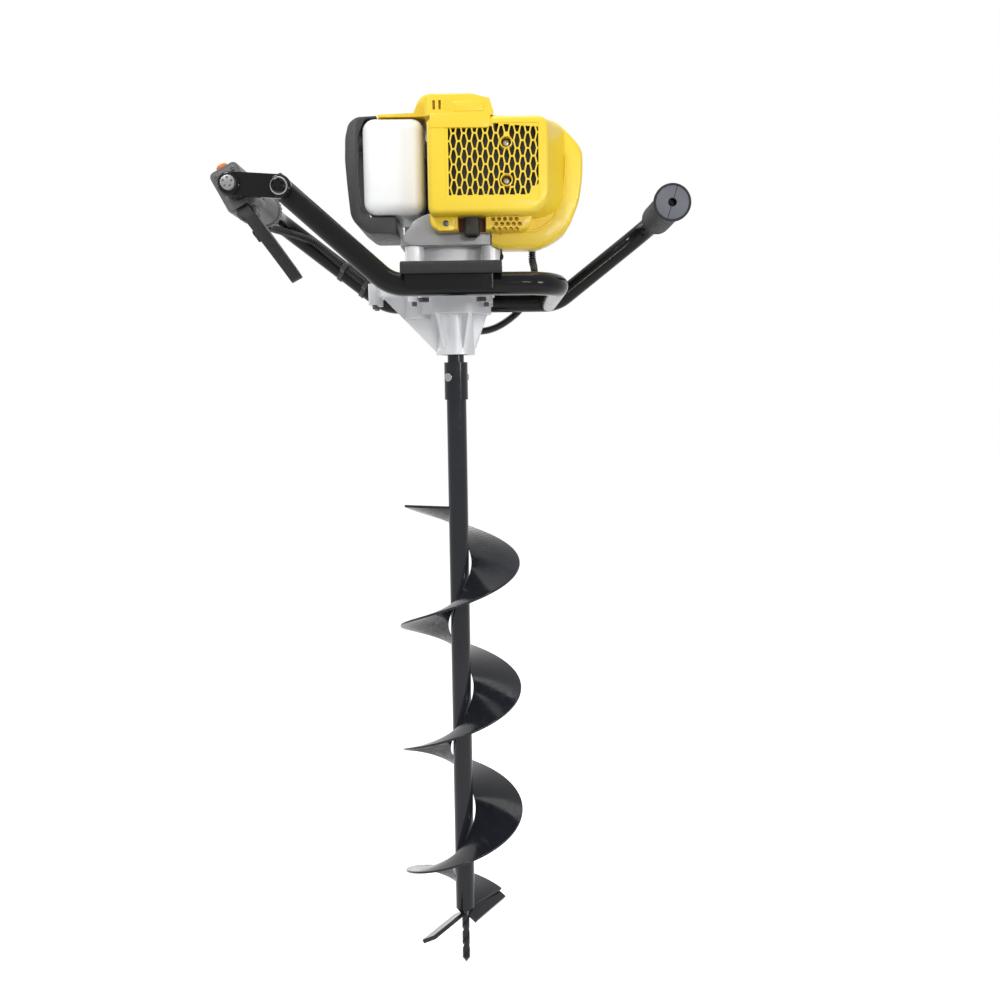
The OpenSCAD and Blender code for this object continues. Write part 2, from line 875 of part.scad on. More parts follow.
module crankcase() {
    port_d = bore_d + 1;
    color("gainsboro")
        difference() {
            union() {
                translate([0, 0, cover_top_z])
                    cylinder(d = bell_d, h = post_h + 1);
                slab(case_z, case_z + 8)
                    round_rect(-60, -post_y - 11.5, post_x + 12, post_y + 11.5, 11);
                translate([0, 0, case_z + 7])
                    cylinder(r = case_r, h = case_h - 7);
                translate([0, -34, crank_z - 34])
                    cube([barrel_x0, 68, 68]);
                translate([-56, -30, case_z + 7])
                    cube([30, 60, 18]);
            }
            translate([0, 0, cover_top_z - 1])
                cylinder(d = bell_bore, h = post_h + 6);
            translate([0, 0, cover_top_z])
                cylinder(d = crank_d + 3, h = case_h + post_h + 2);
            translate([0, 0, crank_z - rod_gap / 2 - web_t - 2])
                cylinder(r = web_r + 3, h = rod_gap + 2 * web_t + 4);
            translate([0, 0, case_z + 9])
                cylinder(d = crank_bearing[0], h = crank_bearing[1] + 14);
            translate([0, 0, case_top_z - crank_bearing[1] - 2])
                cylinder(d = crank_bearing[0], h = crank_bearing[1] + 4);
            translate([0, 0, crank_z])
                rotate([0, 90, 0])
                    cylinder(d = port_d, h = barrel_x0 + 1);
            at_posts()
                translate([0, 0, case_z - 1])
                    cylinder(d = 8, h = 10);
        }
}

module cylinder_fins() {
    pitch = (barrel_x1 - barrel_x0 - 16) / (fin_count - 1);
    for (i = [0:fin_count - 1])
        translate([barrel_x0 + 8 + i * pitch, 0, 0])
            rotate([0, 90, 0])
                cylinder(r = fin_r, h = fin_t);
}

module cylinder_barrel() {
    color("silver")
        translate([0, 0, crank_z])
            difference() {
                union() {
                    translate([barrel_x0, 0, 0])
                        rotate([0, 90, 0])
                            cylinder(d = bore_d + 14, h = barrel_x1 - barrel_x0);
                    cylinder_fins();
                    translate([barrel_x0, -31, -31])
                        cube([7, 62, 62]);
                    for (side = [-1, 1])
                        translate([carb_x, side * (fin_r - 14), 0])
                            rotate([side * -90, 0, 0])
                                cylinder(d = 30, h = 14 - fin_r + (side > 0 ? cowl_y1 : 3 - front_cover_y1));
                }
                translate([barrel_x0 - 1, 0, 0])
                    rotate([0, 90, 0])
                        cylinder(d = bore_d, h = barrel_x1 - barrel_x0 - 6);
                translate([barrel_x1 - 10, 0, 0])
                    rotate([0, 90, 0])
                        cylinder(d = 10, h = 12);
                for (side = [-1, 1])
                    translate([carb_x, 0, 0])
                        rotate([side * -90, 0, 0])
                            cylinder(d = 16, h = 60);
            }
}

module spark_plug() {
    color("white")
        translate([barrel_x1 - 9, 0, crank_z])
            rotate([0, 90, 0]) {
                cylinder(d = 10, h = 10);
                translate([0, 0, 9])
                    cylinder(d = 18, h = 7, $fn = 6);
                translate([0, 0, 16])
                    cylinder(d = 9, h = 12);
            }
}

module plug_boot() {
    color("black")
        translate([barrel_x1 + 8, 0, crank_z])
            difference() {
                union() {
                    rotate([0, 90, 0])
                        cylinder(d = 16, h = 22);
                    translate([15, 0, 0])
                        cylinder(d = 12, h = 34);
                }
                translate([-1, 0, 0])
                    rotate([0, 90, 0])
                        cylinder(d = 9, h = 12.05);
            }
}

module muffler() {
    color("dimgray")
        difference() {
            upright(front_cover_y0 + 12, front_cover_y1 - 3)
                round_rect(-16, crank_z - 15, 104, crank_z + 68, 12);
            upright(front_cover_y0 + 14, front_cover_y1 - 5)
                round_rect(-14, crank_z - 13, 102, crank_z + 66, 10);
            translate([24, front_cover_y0 + 22, crank_z - 20])
                cylinder(d = 9, h = 10);
            translate([carb_x, front_cover_y1 + 5, crank_z])
                rotate([90, 0, 0])
                    cylinder(d = 16, h = 20);
            for (z = cover_screw_z)
                translate([cover_screw_x, 0, z])
                    rotate([90, 0, 0])
                        cylinder(d = 5, h = 100);
        }
}

module heat_shield() {
    color("firebrick")
        difference() {
            slab(crank_z - 20, crank_z - 15)
                round_rect(8, front_cover_y0 + 10, 42, front_cover_y0 + 36, 3);
            slab(crank_z - 21, crank_z - 14)
                round_rect(15, front_cover_y0 + 14, 33, front_cover_y0 + 30, 5);
        }
}

module exhaust_pipe() {
    color("black")
        difference() {
            slab(crank_z - 50, crank_z - 15)
                round_rect(16.5, front_cover_y0 + 15.5, 31.5, front_cover_y0 + 28.5, 5);
            translate([24, front_cover_y0 + 22, crank_z - 51])
                cylinder(d = 9, h = 40);
        }
}

// Columns of long six-sided cells, staggered by half a row
module grille_cells() {
    columns = floor((grille_x1 - grille_x0) / cell_dx);
    rows = floor((grille_z1 - grille_z0) / cell_dy);
    for (c = [0:columns])
        for (r = [0:rows])
            let (x = grille_x0 + c * cell_dx, z = grille_z0 + (r + (c % 2) / 2) * cell_dy)
                if (z < grille_z1 - 2 && (z > grille_z0 + 8 || x < grille_x1 - 14)
                    && min([for (s = cover_screw_z) norm([x - cover_screw_x, z - s])]) > cover_boss_d / 2 + 4)
                    translate([x, z])
                        polygon([[-cell_tip / 2, -cell_h / 2], [cell_tip / 2, -cell_h / 2], [cell_w / 2, 0],
                                 [cell_tip / 2, cell_h / 2], [-cell_tip / 2, cell_h / 2], [-cell_w / 2, 0]]);
}

module front_cover_outline(inset) {
    round_rect(front_cover_x0 + inset, front_cover_z0 + inset, front_cover_x1 - inset, front_cover_z1 - inset,
               front_cover_round - inset);
    round_rect(front_cover_x0 + inset, front_cover_z0 + inset, front_cover_x0 + 60, front_cover_z1 - inset, 4);
}

module muffler_cover() {
    skirt_z0 = crank_z - 49;
    step = 5;
    color("gold")
        difference() {
            union() {
                upright(front_cover_y0, front_cover_y1)
                    front_cover_outline(step);
                upright(front_cover_y0 + step, front_cover_y1)
                    front_cover_outline(0);
                upright(front_cover_y0 + 6, front_cover_y1)
                    round_rect(front_cover_x0, skirt_z0, 92, front_cover_z0 + 30, 12);
            }
            upright(front_cover_y0 + shell, front_cover_y0 + step + 1)
                front_cover_outline(step + shell);
            upright(front_cover_y0 + step + shell, front_cover_y1 + 1)
                front_cover_outline(shell);
            upright(front_cover_y0 + 6 + shell, front_cover_y1 + 1)
                round_rect(front_cover_x0 + shell, skirt_z0 - 20, 92 - shell, front_cover_z0 + 28, 8);
            upright(front_cover_y0 - 1, front_cover_y0 + shell + 1)
                grille_cells();
            upright(front_cover_y0 - 1, front_cover_y0 + 12)
                round_rect(8, skirt_z0 - 20, 40, front_cover_z0 - 3, 3);
            for (z = cover_screw_z)
                translate([cover_screw_x, 0, z])
                    rotate([90, 0, 0])
                        cylinder(d = 5.4, h = 120);
        }
}

module cover_screws() {
    head_d = 9.5;
    color("silver")
        for (z = cover_screw_z)
            translate([cover_screw_x, front_cover_y0, z])
                rotate([90, 0, 0]) {
                    cylinder(d = head_d, h = 3);
                    translate([0, 0, -22])
                        cylinder(d = 5, h = 22.5);
                }
}

module cylinder_cover() {
    color("gold")
        difference() {
            upright(cowl_y0, cowl_y1)
                polygon([for (p = cowl_outline) [p[0], p[1] + crank_z]]);
            translate([0, 0, crank_z])
                upright(cowl_y0 + shell, cowl_y1 - shell)
                    polygon([[40, 86], [70, 86.4], [117, 81.6], [134, 68], [148.5, 50], [148.5, 19], [144.6, -9],
                             [139.6, -25], [132, -40], [122.5, -49], [111, -56.6], [98.6, -60.5], [57, -60.5], [40, -54]]);
            translate([carb_x, cowl_y1 - 5, crank_z])
                rotate([-90, 0, 0])
                    cylinder(d = 31, h = 10);
            translate([carb_x, cowl_y0 + 5, crank_z])
                rotate([90, 0, 0])
                    cylinder(d = 31, h = 10);
            translate([40, cowl_y0 + shell, crank_z - 70])
                cube([18, 130, 23]);
            for (i = [0:4])
                translate([96 + 6 * i, cowl_y0 - 1, crank_z - 44])
                    cube([3, 8, 18]);
        }
}

module starter_outline(inset) {
    polygon([
        [-27 + inset, top_foot_z], [-27 + inset, wing_z + inset], [-82 + inset, wing_z + inset],
        [-82 + inset, wing_z + 5 - inset], [-45 + inset, wing_z + 6 - inset],
        [-33 + inset, top_z - 5 - inset / 2], [-23 + inset / 2, top_z - inset], [26 - inset / 2, top_z - inset],
        [46 - inset, top_z - 7 - inset / 2], [50 - inset, top_foot_z + 15 - inset], [50 - inset, top_foot_z]
    ]);
}

// Front of the starter cover, over the muffler cover, with a slanted left side
module starter_nose(inset) {
    flare = 20;
    intersection() {
        upright(nose_y + inset, top_y0 + 4)
            polygon([[-27 + inset, nose_z - inset], [-27 + inset, wing_z + inset],
                     [nose_x[0] - flare + inset, wing_z + inset], [nose_x[0] - flare + inset, wing_z + 6 - inset],
                     [-33 + inset, nose_top - 5 - inset], [-23, nose_top - inset], [26, nose_top - inset],
                     [45.5 - inset, nose_top - 5 - inset], [nose_x[1] - inset, top_foot_z + 6],
                     [nose_x[1] - inset, nose_z - inset]]);
        slab(nose_z - inset, top_z)
            polygon([[nose_x[0] + inset, nose_y + inset], [nose_x[1] - inset, nose_y + inset],
                     [nose_x[1] - inset, top_y0 + 4], [nose_x[0] - flare + inset, top_y0 + 4]]);
    }
}

module starter_cover() {
    slots = 2;
    color("gold")
        difference() {
            union() {
                upright(top_y0, top_y1)
                    starter_outline(0);
                starter_nose(0);
            }
            starter_nose(shell);
            difference() {
                translate([0, 0, -1])
                    upright(top_y0 + shell, top_y1 - shell)
                        starter_outline(shell);
                translate([0, 0, top_z - 12])
                    cylinder(d = 12, h = 12);
            }
            for (i = [0:slots - 1])
                translate([-17 + 6.5 * i, nose_y - 1, nose_top - 17])
                    cube([3, shell + 2, 10]);
            translate([rope_x, top_y1 - 5, rope_z])
                rotate([-90, 0, 0])
                    cylinder(d = rope_d + 2, h = 10);
        }
}

module starter_pulley() {
    color("black")
        translate([0, 0, rope_z - 7])
            difference() {
                cylinder(r = pulley_r + 4, h = 14);
                translate([0, 0, 4])
                    ring(2 * pulley_r + 20, 2 * (pulley_r - rope_d), 6);
                translate([0, 0, -1])
                    cylinder(d = 12 + 2 * running, h = 16);
                translate([0, 0, -1])
                    cylinder(r = pulley_r - 8, h = 4);
            }
}

module starter_handle() {
    bar = 62;
    color("black")
        translate([rope_x, top_y1 + air, rope_z])
            rotate([-90, 0, 0])
                difference() {
                    union() {
                        translate([0, 0, 12])
                            linear_extrude(13)
                                round_rect(-bar / 2, -7, bar / 2, 7, 6.9);
                        cylinder(d1 = 13, d2 = 18, h = 14);
                    }
                    translate([0, 0, -1])
                        cylinder(d = rope_d, h = 14);
                }
}

module starter_rope() {
    color("white")
        translate([rope_x, top_y1 - 10, rope_z])
            rotate([-90, 0, 0])
                cylinder(d = rope_d, h = 23 + air);
}

// Fuel system

module tank_shape(grow) {
    intersection() {
        upright(tank_y0 - grow, tank_y0 + tank_depth + grow)
            round_rect(tank_x0 - grow, tank_z0 - grow, tank_x0 + tank_w + grow, tank_z0 + tank_h + grow, tank_round + grow);
        slab(tank_z0 - grow, tank_z0 + tank_h + grow)
            round_rect(tank_x0 - grow, tank_y0 - grow, tank_x0 + tank_w + grow, tank_y0 + tank_depth + grow,
                       tank_round + grow);
    }
}

module fuel_tank() {
    back = tank_y0 + tank_depth;
    color("white")
        difference() {
            union() {
                tank_shape(0);
                translate([neck_x, back - 2, neck_z])
                    rotate([-90, 0, 0])
                        cylinder(d = neck_d, h = neck_len + 2);
            }
            difference() {
                tank_shape(-tank_wall);
                cylinder(r = recess_r + tank_wall, h = top_z);
            }
            cylinder(r = recess_r, h = top_z);
            translate([neck_x, back - 6, neck_z])
                rotate([-90, 0, 0])
                    cylinder(d = neck_d - 2 * tank_wall, h = neck_len + 8);
        }
}

module fuel_cap() {
    back = tank_y0 + tank_depth;
    lobes = 14;
    color("black")
        translate([neck_x, back + air, neck_z])
            rotate([-90, 0, 0])
                difference() {
                    cylinder(d = cap_d, h = cap_h);
                    translate([0, 0, -1])
                        cylinder(d = neck_d + 2 * running, h = neck_len + 1);
                    for (i = [0:lobes - 1])
                        rotate([0, 0, 360 * i / lobes])
                            translate([cap_d / 2 + 1.2, 0, -1])
                                cylinder(d = 5, h = cap_h + 2);
                }
}

module fuel_line() {
    x = tank_x0 + tank_w;
    y = max(tank_y0 + tank_depth - 14, case_r + 4);
    z = crank_z - 4;
    color("goldenrod")
        bent_rod([[x, y, z], [x + 30, y, z], [x + 52, carb_y0 + 18, z], [carb_x - 18, carb_y0 + 18, z]], 14, 5);
}

module tank_guard() {
    reach = 10;
    color("black")
        difference() {
            upright(-52, 50)
                polygon([[-84, crank_z + 89], [-107, crank_z + 88], [-116, crank_z + 81], [-120, crank_z + 66],
                         [-121, crank_z + 40], [-119, crank_z + 10], [-116, crank_z - 22], [-111, crank_z - 31],
                         [-96, crank_z - 43], [-64, crank_z - 43], [-64, crank_z - 24], [-98, crank_z - 24],
                         [-104, crank_z - 19], [-108, crank_z + 30], [-105, crank_z + 68], [-97, crank_z + 86],
                         [-84, crank_z + 86]]);
            translate([-130, -52 + reach, crank_z - 14])
                cube([40, 102 - 2 * reach, 84]);
        }
}

module carburetor() {
    color("silver")
        difference() {
            union() {
                upright(carb_y0, carb_y0 + 8)
                    round_rect(carb_x - 21, crank_z - 18, carb_x + 21, crank_z + 18, 6);
                upright(carb_y0 + 7, carb_y1)
                    round_rect(carb_x - 18, crank_z - 20, carb_x + 18, crank_z + 20, 4);
            }
            translate([carb_x, carb_y0 - 1, crank_z])
                rotate([-90, 0, 0])
                    cylinder(d = 16, h = carb_y1 - carb_y0 + 2);
            translate([carb_x, carb_y0 + 22, crank_z - 21])
                cylinder(d = primer_d + 2 * running, h = 2 * primer_travel);
        }
}

module air_filter_case() {
    color("black")
        difference() {
            intersection() {
                upright(filter_y[0], filter_y[1])
                    round_rect(filter_x[0], filter_z[0], filter_x[1], filter_z[1], 14);
                slab(filter_z[0], filter_z[1])
                    round_rect(filter_x[0], filter_y[0] - 20, filter_x[1], filter_y[1], 12);
            }
            intersection() {
                upright(filter_y[0] + shell, filter_y[1] - shell)
                    round_rect(filter_x[0] + shell, filter_z[0] + shell, filter_x[1] - shell, filter_z[1] - shell, 11);
                slab(filter_z[0], filter_z[1])
                    round_rect(filter_x[0] + shell, filter_y[0] - 20, filter_x[1] - shell, filter_y[1] - shell, 12 - shell);
            }
            translate([carb_x, filter_y[0] - 1, crank_z])
                rotate([-90, 0, 0])
                    cylinder(d = 16, h = 8);
            translate([choke_x, filter_y[1] - 8, choke_z])
                rotate([-90, 0, 0])
                    cylinder(d = 6 + 2 * running, h = 10);
        }
}

module choke_lever() {
    color("orangered")
        translate([choke_x, filter_y[1], choke_z])
            rotate([-90, 0, 0]) {
                translate([0, 0, -8])
                    cylinder(d = 6, h = 9);
                translate([0, 0, air])
                    linear_extrude(4) {
                        circle(d = 13);
                        translate([-4, 0])
                            square([8, 24]);
                        translate([0, 24])
                            circle(d = 11);
                    }
            }
}

module primer_bulb() {
    dome_d = 18;
    color("lightgray")
        translate([carb_x, carb_y0 + 22, crank_z - 20]) {
            difference() {
                translate([0, 0, -primer_travel - air])
                    sphere(d = dome_d);
                translate([-dome_d, -dome_d, -primer_travel - air])
                    cube(2 * dome_d);
            }
            translate([0, 0, -primer_travel - air - 1])
                cylinder(d = primer_d, h = primer_travel + air + 2);
        }
}

// Frame

// Round bar bent into a full ring
module ring_bar(r, d) {
    rotate_extrude()
        translate([r, 0])
            circle(d = d);
}

module front_rail() {
    color("black")
        difference() {
            bent_tube([[front_end_x, -rail_y, front_end_z], [corner_front_x, -rail_y, rail_z],
                       [front_leg_x, -rail_y, rail_z], [front_leg_x, rail_y - rail_d / 2 + 3, rail_z]],
                      bend_r, rail_d, rail_wall);
            translate([0, rail_y, rail_z])
                rotate([0, 90, 0])
                    cylinder(d = rail_d + 2 * weld_gap, h = 300, center = true);
            translate([corner_right_x - bend_r * tan(arm_slope / 2), rail_y, rail_z + bend_r])
                rotate([90, 0, 0])
                    ring_bar(bend_r, rail_d + 2 * weld_gap);
            translate([front_end_x + 9, -rail_y, front_end_z - 8])
                rotate([90, 0, 0])
                    cylinder(d = 10 + slip, h = 60, center = true);
        }
}

module rear_rail() {
    color("black")
        bent_tube([[grip_right_x, grip_back_y - grip_len + 8, grip_right_z], [grip_right_x, rail_y, grip_right_z],
                   [corner_right_x, rail_y, rail_z], [corner_left_x, rail_y, rail_z],
                   [grip_left_x, rail_y, grip_left_z], [grip_left_x, left_tube_y0, grip_left_z]],
                  bend_r, rail_d, rail_wall);
}

module frame_brackets() {
    outer = rail_y + rail_d / 2;
    color("black")
        for (side = [0, 180])
            rotate([0, 0, side])
                difference() {
                    union() {
                        slab(bracket_z, bracket_z + bracket_t)
                            round_rect(-ear_x / 2 - 2, -outer - bracket_lip, ear_x / 2 + 2, -ear_y + 15, 2);
                        slab(rail_z - rail_d / 4, bracket_z + bracket_t)
                            round_rect(-ear_x / 2 - 2, -outer - bracket_lip, ear_x / 2 + 2, -outer, 1.9);
                    }
                    for (x = [-ear_screw_x, ear_screw_x])
                        translate([x, -ear_y + 8, bracket_z - 1])
                            cylinder(d = case_screw_d + 2 * slip, h = bracket_t + 2);
                    for (x = [-centres, centres])
                        translate([x, -flange_r - 2, bracket_z - 1])
                            cylinder(d = case_screw_d * 1.7 + 2, h = bracket_t + 2);
                }
}

module rubber_pads() {
    outer = rail_y + rail_d / 2 + bracket_lip;
    foot = bracket_z + bracket_t;
    color("black")
        for (side = [0, 180])
            rotate([0, 0, side]) {
                slab(foot, foot + pad_t)
                    round_rect(-pad_len / 2, -outer - 7, pad_len / 2, -ear_y - 6, 6);
                slab(foot - 8.5, foot + 1)
                    round_rect(-pad_len / 2, -outer - 7, pad_len / 2, -outer, 3.4);
            }
}

module grip_right() {
    flange_d = 44;
    flange_t = 5;
    back = grip_back_y;
    color("black")
        translate([grip_right_x, back - grip_len, grip_right_z])
            rotate([-90, 0, 0])
                difference() {
                    union() {
                        cylinder(d = flange_d, h = flange_t);
                        cylinder(d = grip_d, h = grip_len);
                    }
                    translate([0, 0, 8])
                        cylinder(d = rail_d, h = grip_len);
                    translate([0, 0, -1])
                        cylinder(d = 10, h = 12);
                }
}

module handle_strap() {
    plate_t = 6;
    end_x = front_end_x + 9;
    end_z = front_end_z - 8;
    color("black")
        difference() {
            upright(strap_y - plate_t, strap_y) {
                for (p = [[grip_left_x, grip_left_z], [end_x, end_z]])
                    translate(p)
                        circle(d = 25);
                translate([grip_left_x, grip_left_z])
                    rotate(atan2(end_z - grip_left_z, end_x - grip_left_x))
                        translate([0, -12.5])
                            square([norm([end_x - grip_left_x, end_z - grip_left_z]), 25]);
            }
            for (p = [[grip_left_x, grip_left_z], [end_x, end_z]])
                translate([p[0], strap_y, p[1]])
                    rotate([90, 0, 0])
                        cylinder(d = 10 + slip, h = 30, center = true);
        }
}

module strap_bolts() {
    plate_t = 6;
    end = [front_end_x + 9, front_end_z - 8];
    color("dimgray") {
        for (b = [[grip_left_x, grip_left_z, 30], [end[0], end[1], rail_d + 10]])
            translate([b[0], strap_y - plate_t, b[1]])
                rotate([90, 0, 0]) {
                    cylinder(d = 17, h = 3, $fn = 48);
                    translate([0, 0, 3])
                        cylinder(d = 17, h = 5, $fn = 6);
                    translate([0, 0, -b[2]])
                        cylinder(d = 10, h = b[2] + 1);
                }
        translate([end[0], -rail_y + rail_d / 2 + 8, end[1]])
            rotate([90, 0, 0])
                difference() {
                    cylinder(d = 18, h = 8, $fn = 6);
                    translate([0, 0, -1])
                        cylinder(d = 10, h = 10);
                }
        translate([grip_left_x, left_tube_y0, grip_left_z])
            rotate([-90, 0, 0])
                difference() {
                    cylinder(d = rail_d - 2 * rail_wall, h = 24);
                    translate([0, 0, -1])
                        cylinder(d = 10, h = 24.99);
                }
    }
}

// Throttle grip

module throttle_body() {
    ear_w = 22;
    color("dimgray")
        in_grip()
            difference() {
                union() {
                    upright(block_y[0], block_y[1])
                        round_rect(block_x[0], -21, block_x[1], 28, 6);
                    upright(pivot_y - 9, pivot_y + 12)
                        round_rect(block_mid - ear_w / 2, -pivot_drop - 7, block_mid + ear_w / 2, -10, 6);
                }
                upright(block_y[0] - 1, block_y[1] + 10)
                    circle(d = rail_d);
                upright(pivot_y - 20, pivot_y + 40)
                    round_rect(block_mid - lever_w / 2 - 0.4, -pivot_drop - 20, block_mid + lever_w / 2 + 0.4,
                               -pivot_drop + 6.5, 1);
                translate([block_mid, pivot_y, -pivot_drop])
                    rotate([0, 90, 0])
                        cylinder(d = pivot_d, h = 60, center = true);
                translate([block_mid, -102, 18])
                    cylinder(d = 13.2, h = 20);
                translate([-lock_w / 2 - 0.4, lock_y - 5, lock_z - lock_t / 2 - 0.8])
                    cube([lock_w + 0.8, 30, 20]);
                translate([0, lock_y, lock_z])
                    rotate([0, 90, 0])
                        cylinder(d = 3 + 2 * running, h = 24, center = true);
            }
}

module grip_left() {
    ribs = 28;
    color("dimgray")
        in_grip()
            difference() {
                union() {
                    translate([0, sleeve_y[0] + 4.2, 0])
                        rotate([-90, 0, 0])
                            cylinder(d = sleeve_d, h = sleeve_y[1] - sleeve_y[0] - 4.2);
                    translate([0, collar_y[0], 0])
                        rotate([-90, 0, 0])
                            cylinder(d = collar_d, h = collar_y[1] - collar_y[0]);
                }
                translate([0, sleeve_y[0] - 10, 0])
                    rotate([-90, 0, 0])
                        cylinder(d = rail_d, h = 200);
                for (i = [0:ribs - 1])
                    rotate([0, 360 * i / ribs, 0])
                        translate([0, collar_y[0] - 1, collar_d / 2 + 0.6])
                            rotate([-90, 0, 0])
                                cylinder(d = 3, h = 13);
            }
}

module throttle_lever() {
    color("black")
        in_grip()
            translate([block_mid, pivot_y, -pivot_drop])
                rotate([-lever_droop, 0, 0])
                    difference() {
                        union() {
                            upright(0, lever_len)
                                round_rect(-lever_w / 2, -lever_t / 2, lever_w / 2, lever_t / 2, 2);
                            rotate([0, 90, 0])
                                cylinder(d = lever_t + 1, h = lever_w, center = true);
                            translate([-lever_w / 2, lever_len - 4, -lever_t / 2 - 3])
                                cube([lever_w, 4, 6]);
                        }
                        rotate([0, 90, 0])
                            cylinder(d = pivot_d + 2 * running, h = 60, center = true);
                    }
}

module lever_pin() {
    color("silver")
        in_grip()
            translate([block_mid, pivot_y, -pivot_drop])
                rotate([0, 90, 0])
                    cylinder(d = pivot_d, h = 22, center = true);
}

module lock_lever() {
    reach = 74;
    color("black")
        in_grip()
            translate([0, lock_y, lock_z]) {
                upright(-3, reach)
                    round_rect(-lock_w / 2, -lock_t / 2, lock_w / 2, lock_t / 2, 2);
                upright(reach - 14, reach)
                    round_rect(-lock_w / 2, -lock_t / 2, lock_w / 2, lock_t, 2);
                rotate([0, 90, 0])
                    cylinder(d = 3, h = 23, center = true);
            }
}

module stop_button() {
    color("orangered")
        in_grip()
            translate([block_mid, -102, 22])
                cylinder(d = 13, h = 12);
}

// Cable hose

function spline(p, i, t) =
    let (
        last = len(p) - 1,
        a = p[max(0, i - 1)],
        b = p[i],
        c = p[min(last, i + 1)],
        d = p[min(last, i + 2)]
    )
    0.5 * (2 * b + (c - a) * t + (2 * a - 5 * b + 4 * c - d) * t * t + (3 * b - a - 3 * c + d) * t * t * t);

function running_sum(v) = [for (i = 0, s = 0; i < len(v); i = i + 1, s = s + (i < len(v) ? v[i] : 0)) s];

hose_dense = concat([for (i = [0:len(hose_route) - 2]) for (k = [0:9]) spline(hose_route, i, k / 10)],
                    [hose_route[len(hose_route) - 1]]);
hose_steps = concat([for (i = [0:len(hose_dense) - 2]) norm(hose_dense[i + 1] - hose_dense[i])], [0]);
hose_marks = running_sum(hose_steps);
hose_len = hose_marks[len(hose_marks) - 1];
hose_table = [for (axis = [0:2]) [for (i = [0:len(hose_dense) - 1]) [hose_marks[i], hose_dense[i][axis]]]];
function hose_at(s) = [for (axis = [0:2]) lookup(s, hose_table[axis])];
function hose_dir(s) = unit(hose_at(min(hose_len, s + 1.5)) - hose_at(max(0, s - 1.5)));

// Ring of points about the hose, with a side direction carried along it
function carried(side, dir) = unit(side - (side * dir) * dir);
function ring_points(s, side, r, sides) =
    let (c = hose_at(s), w = cross(hose_dir(s), side))
    [for (k = [0:sides - 1]) c + r * (cos(360 * k / sides) * side + sin(360 * k / sides) * w)];

module cable_hose() {
    sides = 8;
    plain = hose_d;
    pitch = (hose_len - 2 * plain) / hose_ribs;
    groove = hose_d / 2 - 0.9;
    crest = hose_d / 2;
    stops = concat([[0, groove]],
                   [for (i = [0:hose_ribs - 1]) each [[plain + i * pitch, groove], [plain + (i + 0.5) * pitch, crest]]],
                   [[hose_len - plain, groove], [hose_len, groove]]);
    count = len(stops);
    start = carried([0, 0, 1], hose_dir(0));
    frames = [for (i = 0, f = start; i < count; i = i + 1, f = i < count ? carried(f, hose_dir(stops[i][0])) : f) f];
    outer = [for (i = [0:count - 1]) each ring_points(stops[i][0], frames[i], stops[i][1], sides)];
    inner_stops = [for (i = [0:3:count - 1]) i];
    inner_ids = inner_stops[len(inner_stops) - 1] == count - 1 ? inner_stops : concat(inner_stops, [count - 1]);
    inner = [for (i = inner_ids) each ring_points(stops[i][0], frames[i], hose_bore / 2, sides)];
    base = count * sides;
    in_count = len(inner_ids);
    out_faces = [for (i = [0:count - 2]) for (k = [0:sides - 1])
        let (a = i * sides + k, b = i * sides + (k + 1) % sides)
            each [[a, a + sides, b + sides], [a, b + sides, b]]];
    in_faces = [for (i = [0:in_count - 2]) for (k = [0:sides - 1])
        let (a = base + i * sides + k, b = base + i * sides + (k + 1) % sides)
            each [[a, b + sides, a + sides], [a, b, b + sides]]];
    last_out = (count - 1) * sides;
    last_in = base + (in_count - 1) * sides;
    caps = [for (k = [0:sides - 1])
        let (n = (k + 1) % sides)
            each [[k, n, base + n], [k, base + n, base + k],
                  [last_out + k, last_in + n, last_out + n], [last_out + k, last_in + k, last_in + n]]];
    color("black")
        polyhedron(concat(outer, inner), concat(out_faces, in_faces, caps));
}

module cable_clips() {
    along = [-cos(arm_slope), 0, sin(arm_slope)];
    foot = [corner_left_x, rail_y, rail_z];
    band = 6;
    color("black")
        for (mark = clip_marks) {
            p = hose_at(mark);
            q = foot + ((p - foot) * along) * along;
            difference() {
                union() {
                    rod(p - along * band / 2, p + along * band / 2, hose_d + 4.4);
                    rod(q - along * band / 2, q + along * band / 2, rail_d + 3);
                    rod(p, q, band - 1);
                }
                rod(p - along * band, p + along * band, hose_d + 0.8);
                rod(q - along * band, q + along * band, rail_d);
            }
        }
}

auger_tube();
auger_flight();
cutting_blades();
pilot_point();
bit_coupler();
coupler_bolt();
coupler_nut();
output_shaft();
output_gear();
countershaft();
countershaft_gear();
input_shaft();
clutch_drum();
crankshaft();
flywheel();
clutch_shoes();
piston();
connecting_rod();
gearbox_housing();
gearbox_cover();
gearbox_screws();
shaft_bearings();
engine_posts();
crankcase();
cylinder_barrel();  // cylinder
spark_plug();
plug_boot();
muffler();
heat_shield();
exhaust_pipe();
muffler_cover();
cover_screws();
cylinder_cover();
starter_cover();
starter_pulley();
starter_handle();
starter_rope();
fuel_tank();
fuel_cap();
fuel_line();
tank_guard();
carburetor();
air_filter_case();
choke_lever();
primer_bulb();
front_rail();
rear_rail();
frame_brackets();
rubber_pads();
grip_right();
handle_strap();
strap_bolts();
throttle_body();
grip_left();
throttle_lever();
lever_pin();
lock_lever();
stop_button();
cable_hose();
cable_clips();
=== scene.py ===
"""Petrol earth auger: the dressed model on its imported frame, in a plain studio."""

import json
import logging
import math
from dataclasses import dataclass
from enum import Enum
from typing import Callable, Iterable, Sequence

import bmesh
import bpy
from mathutils import Matrix, Vector

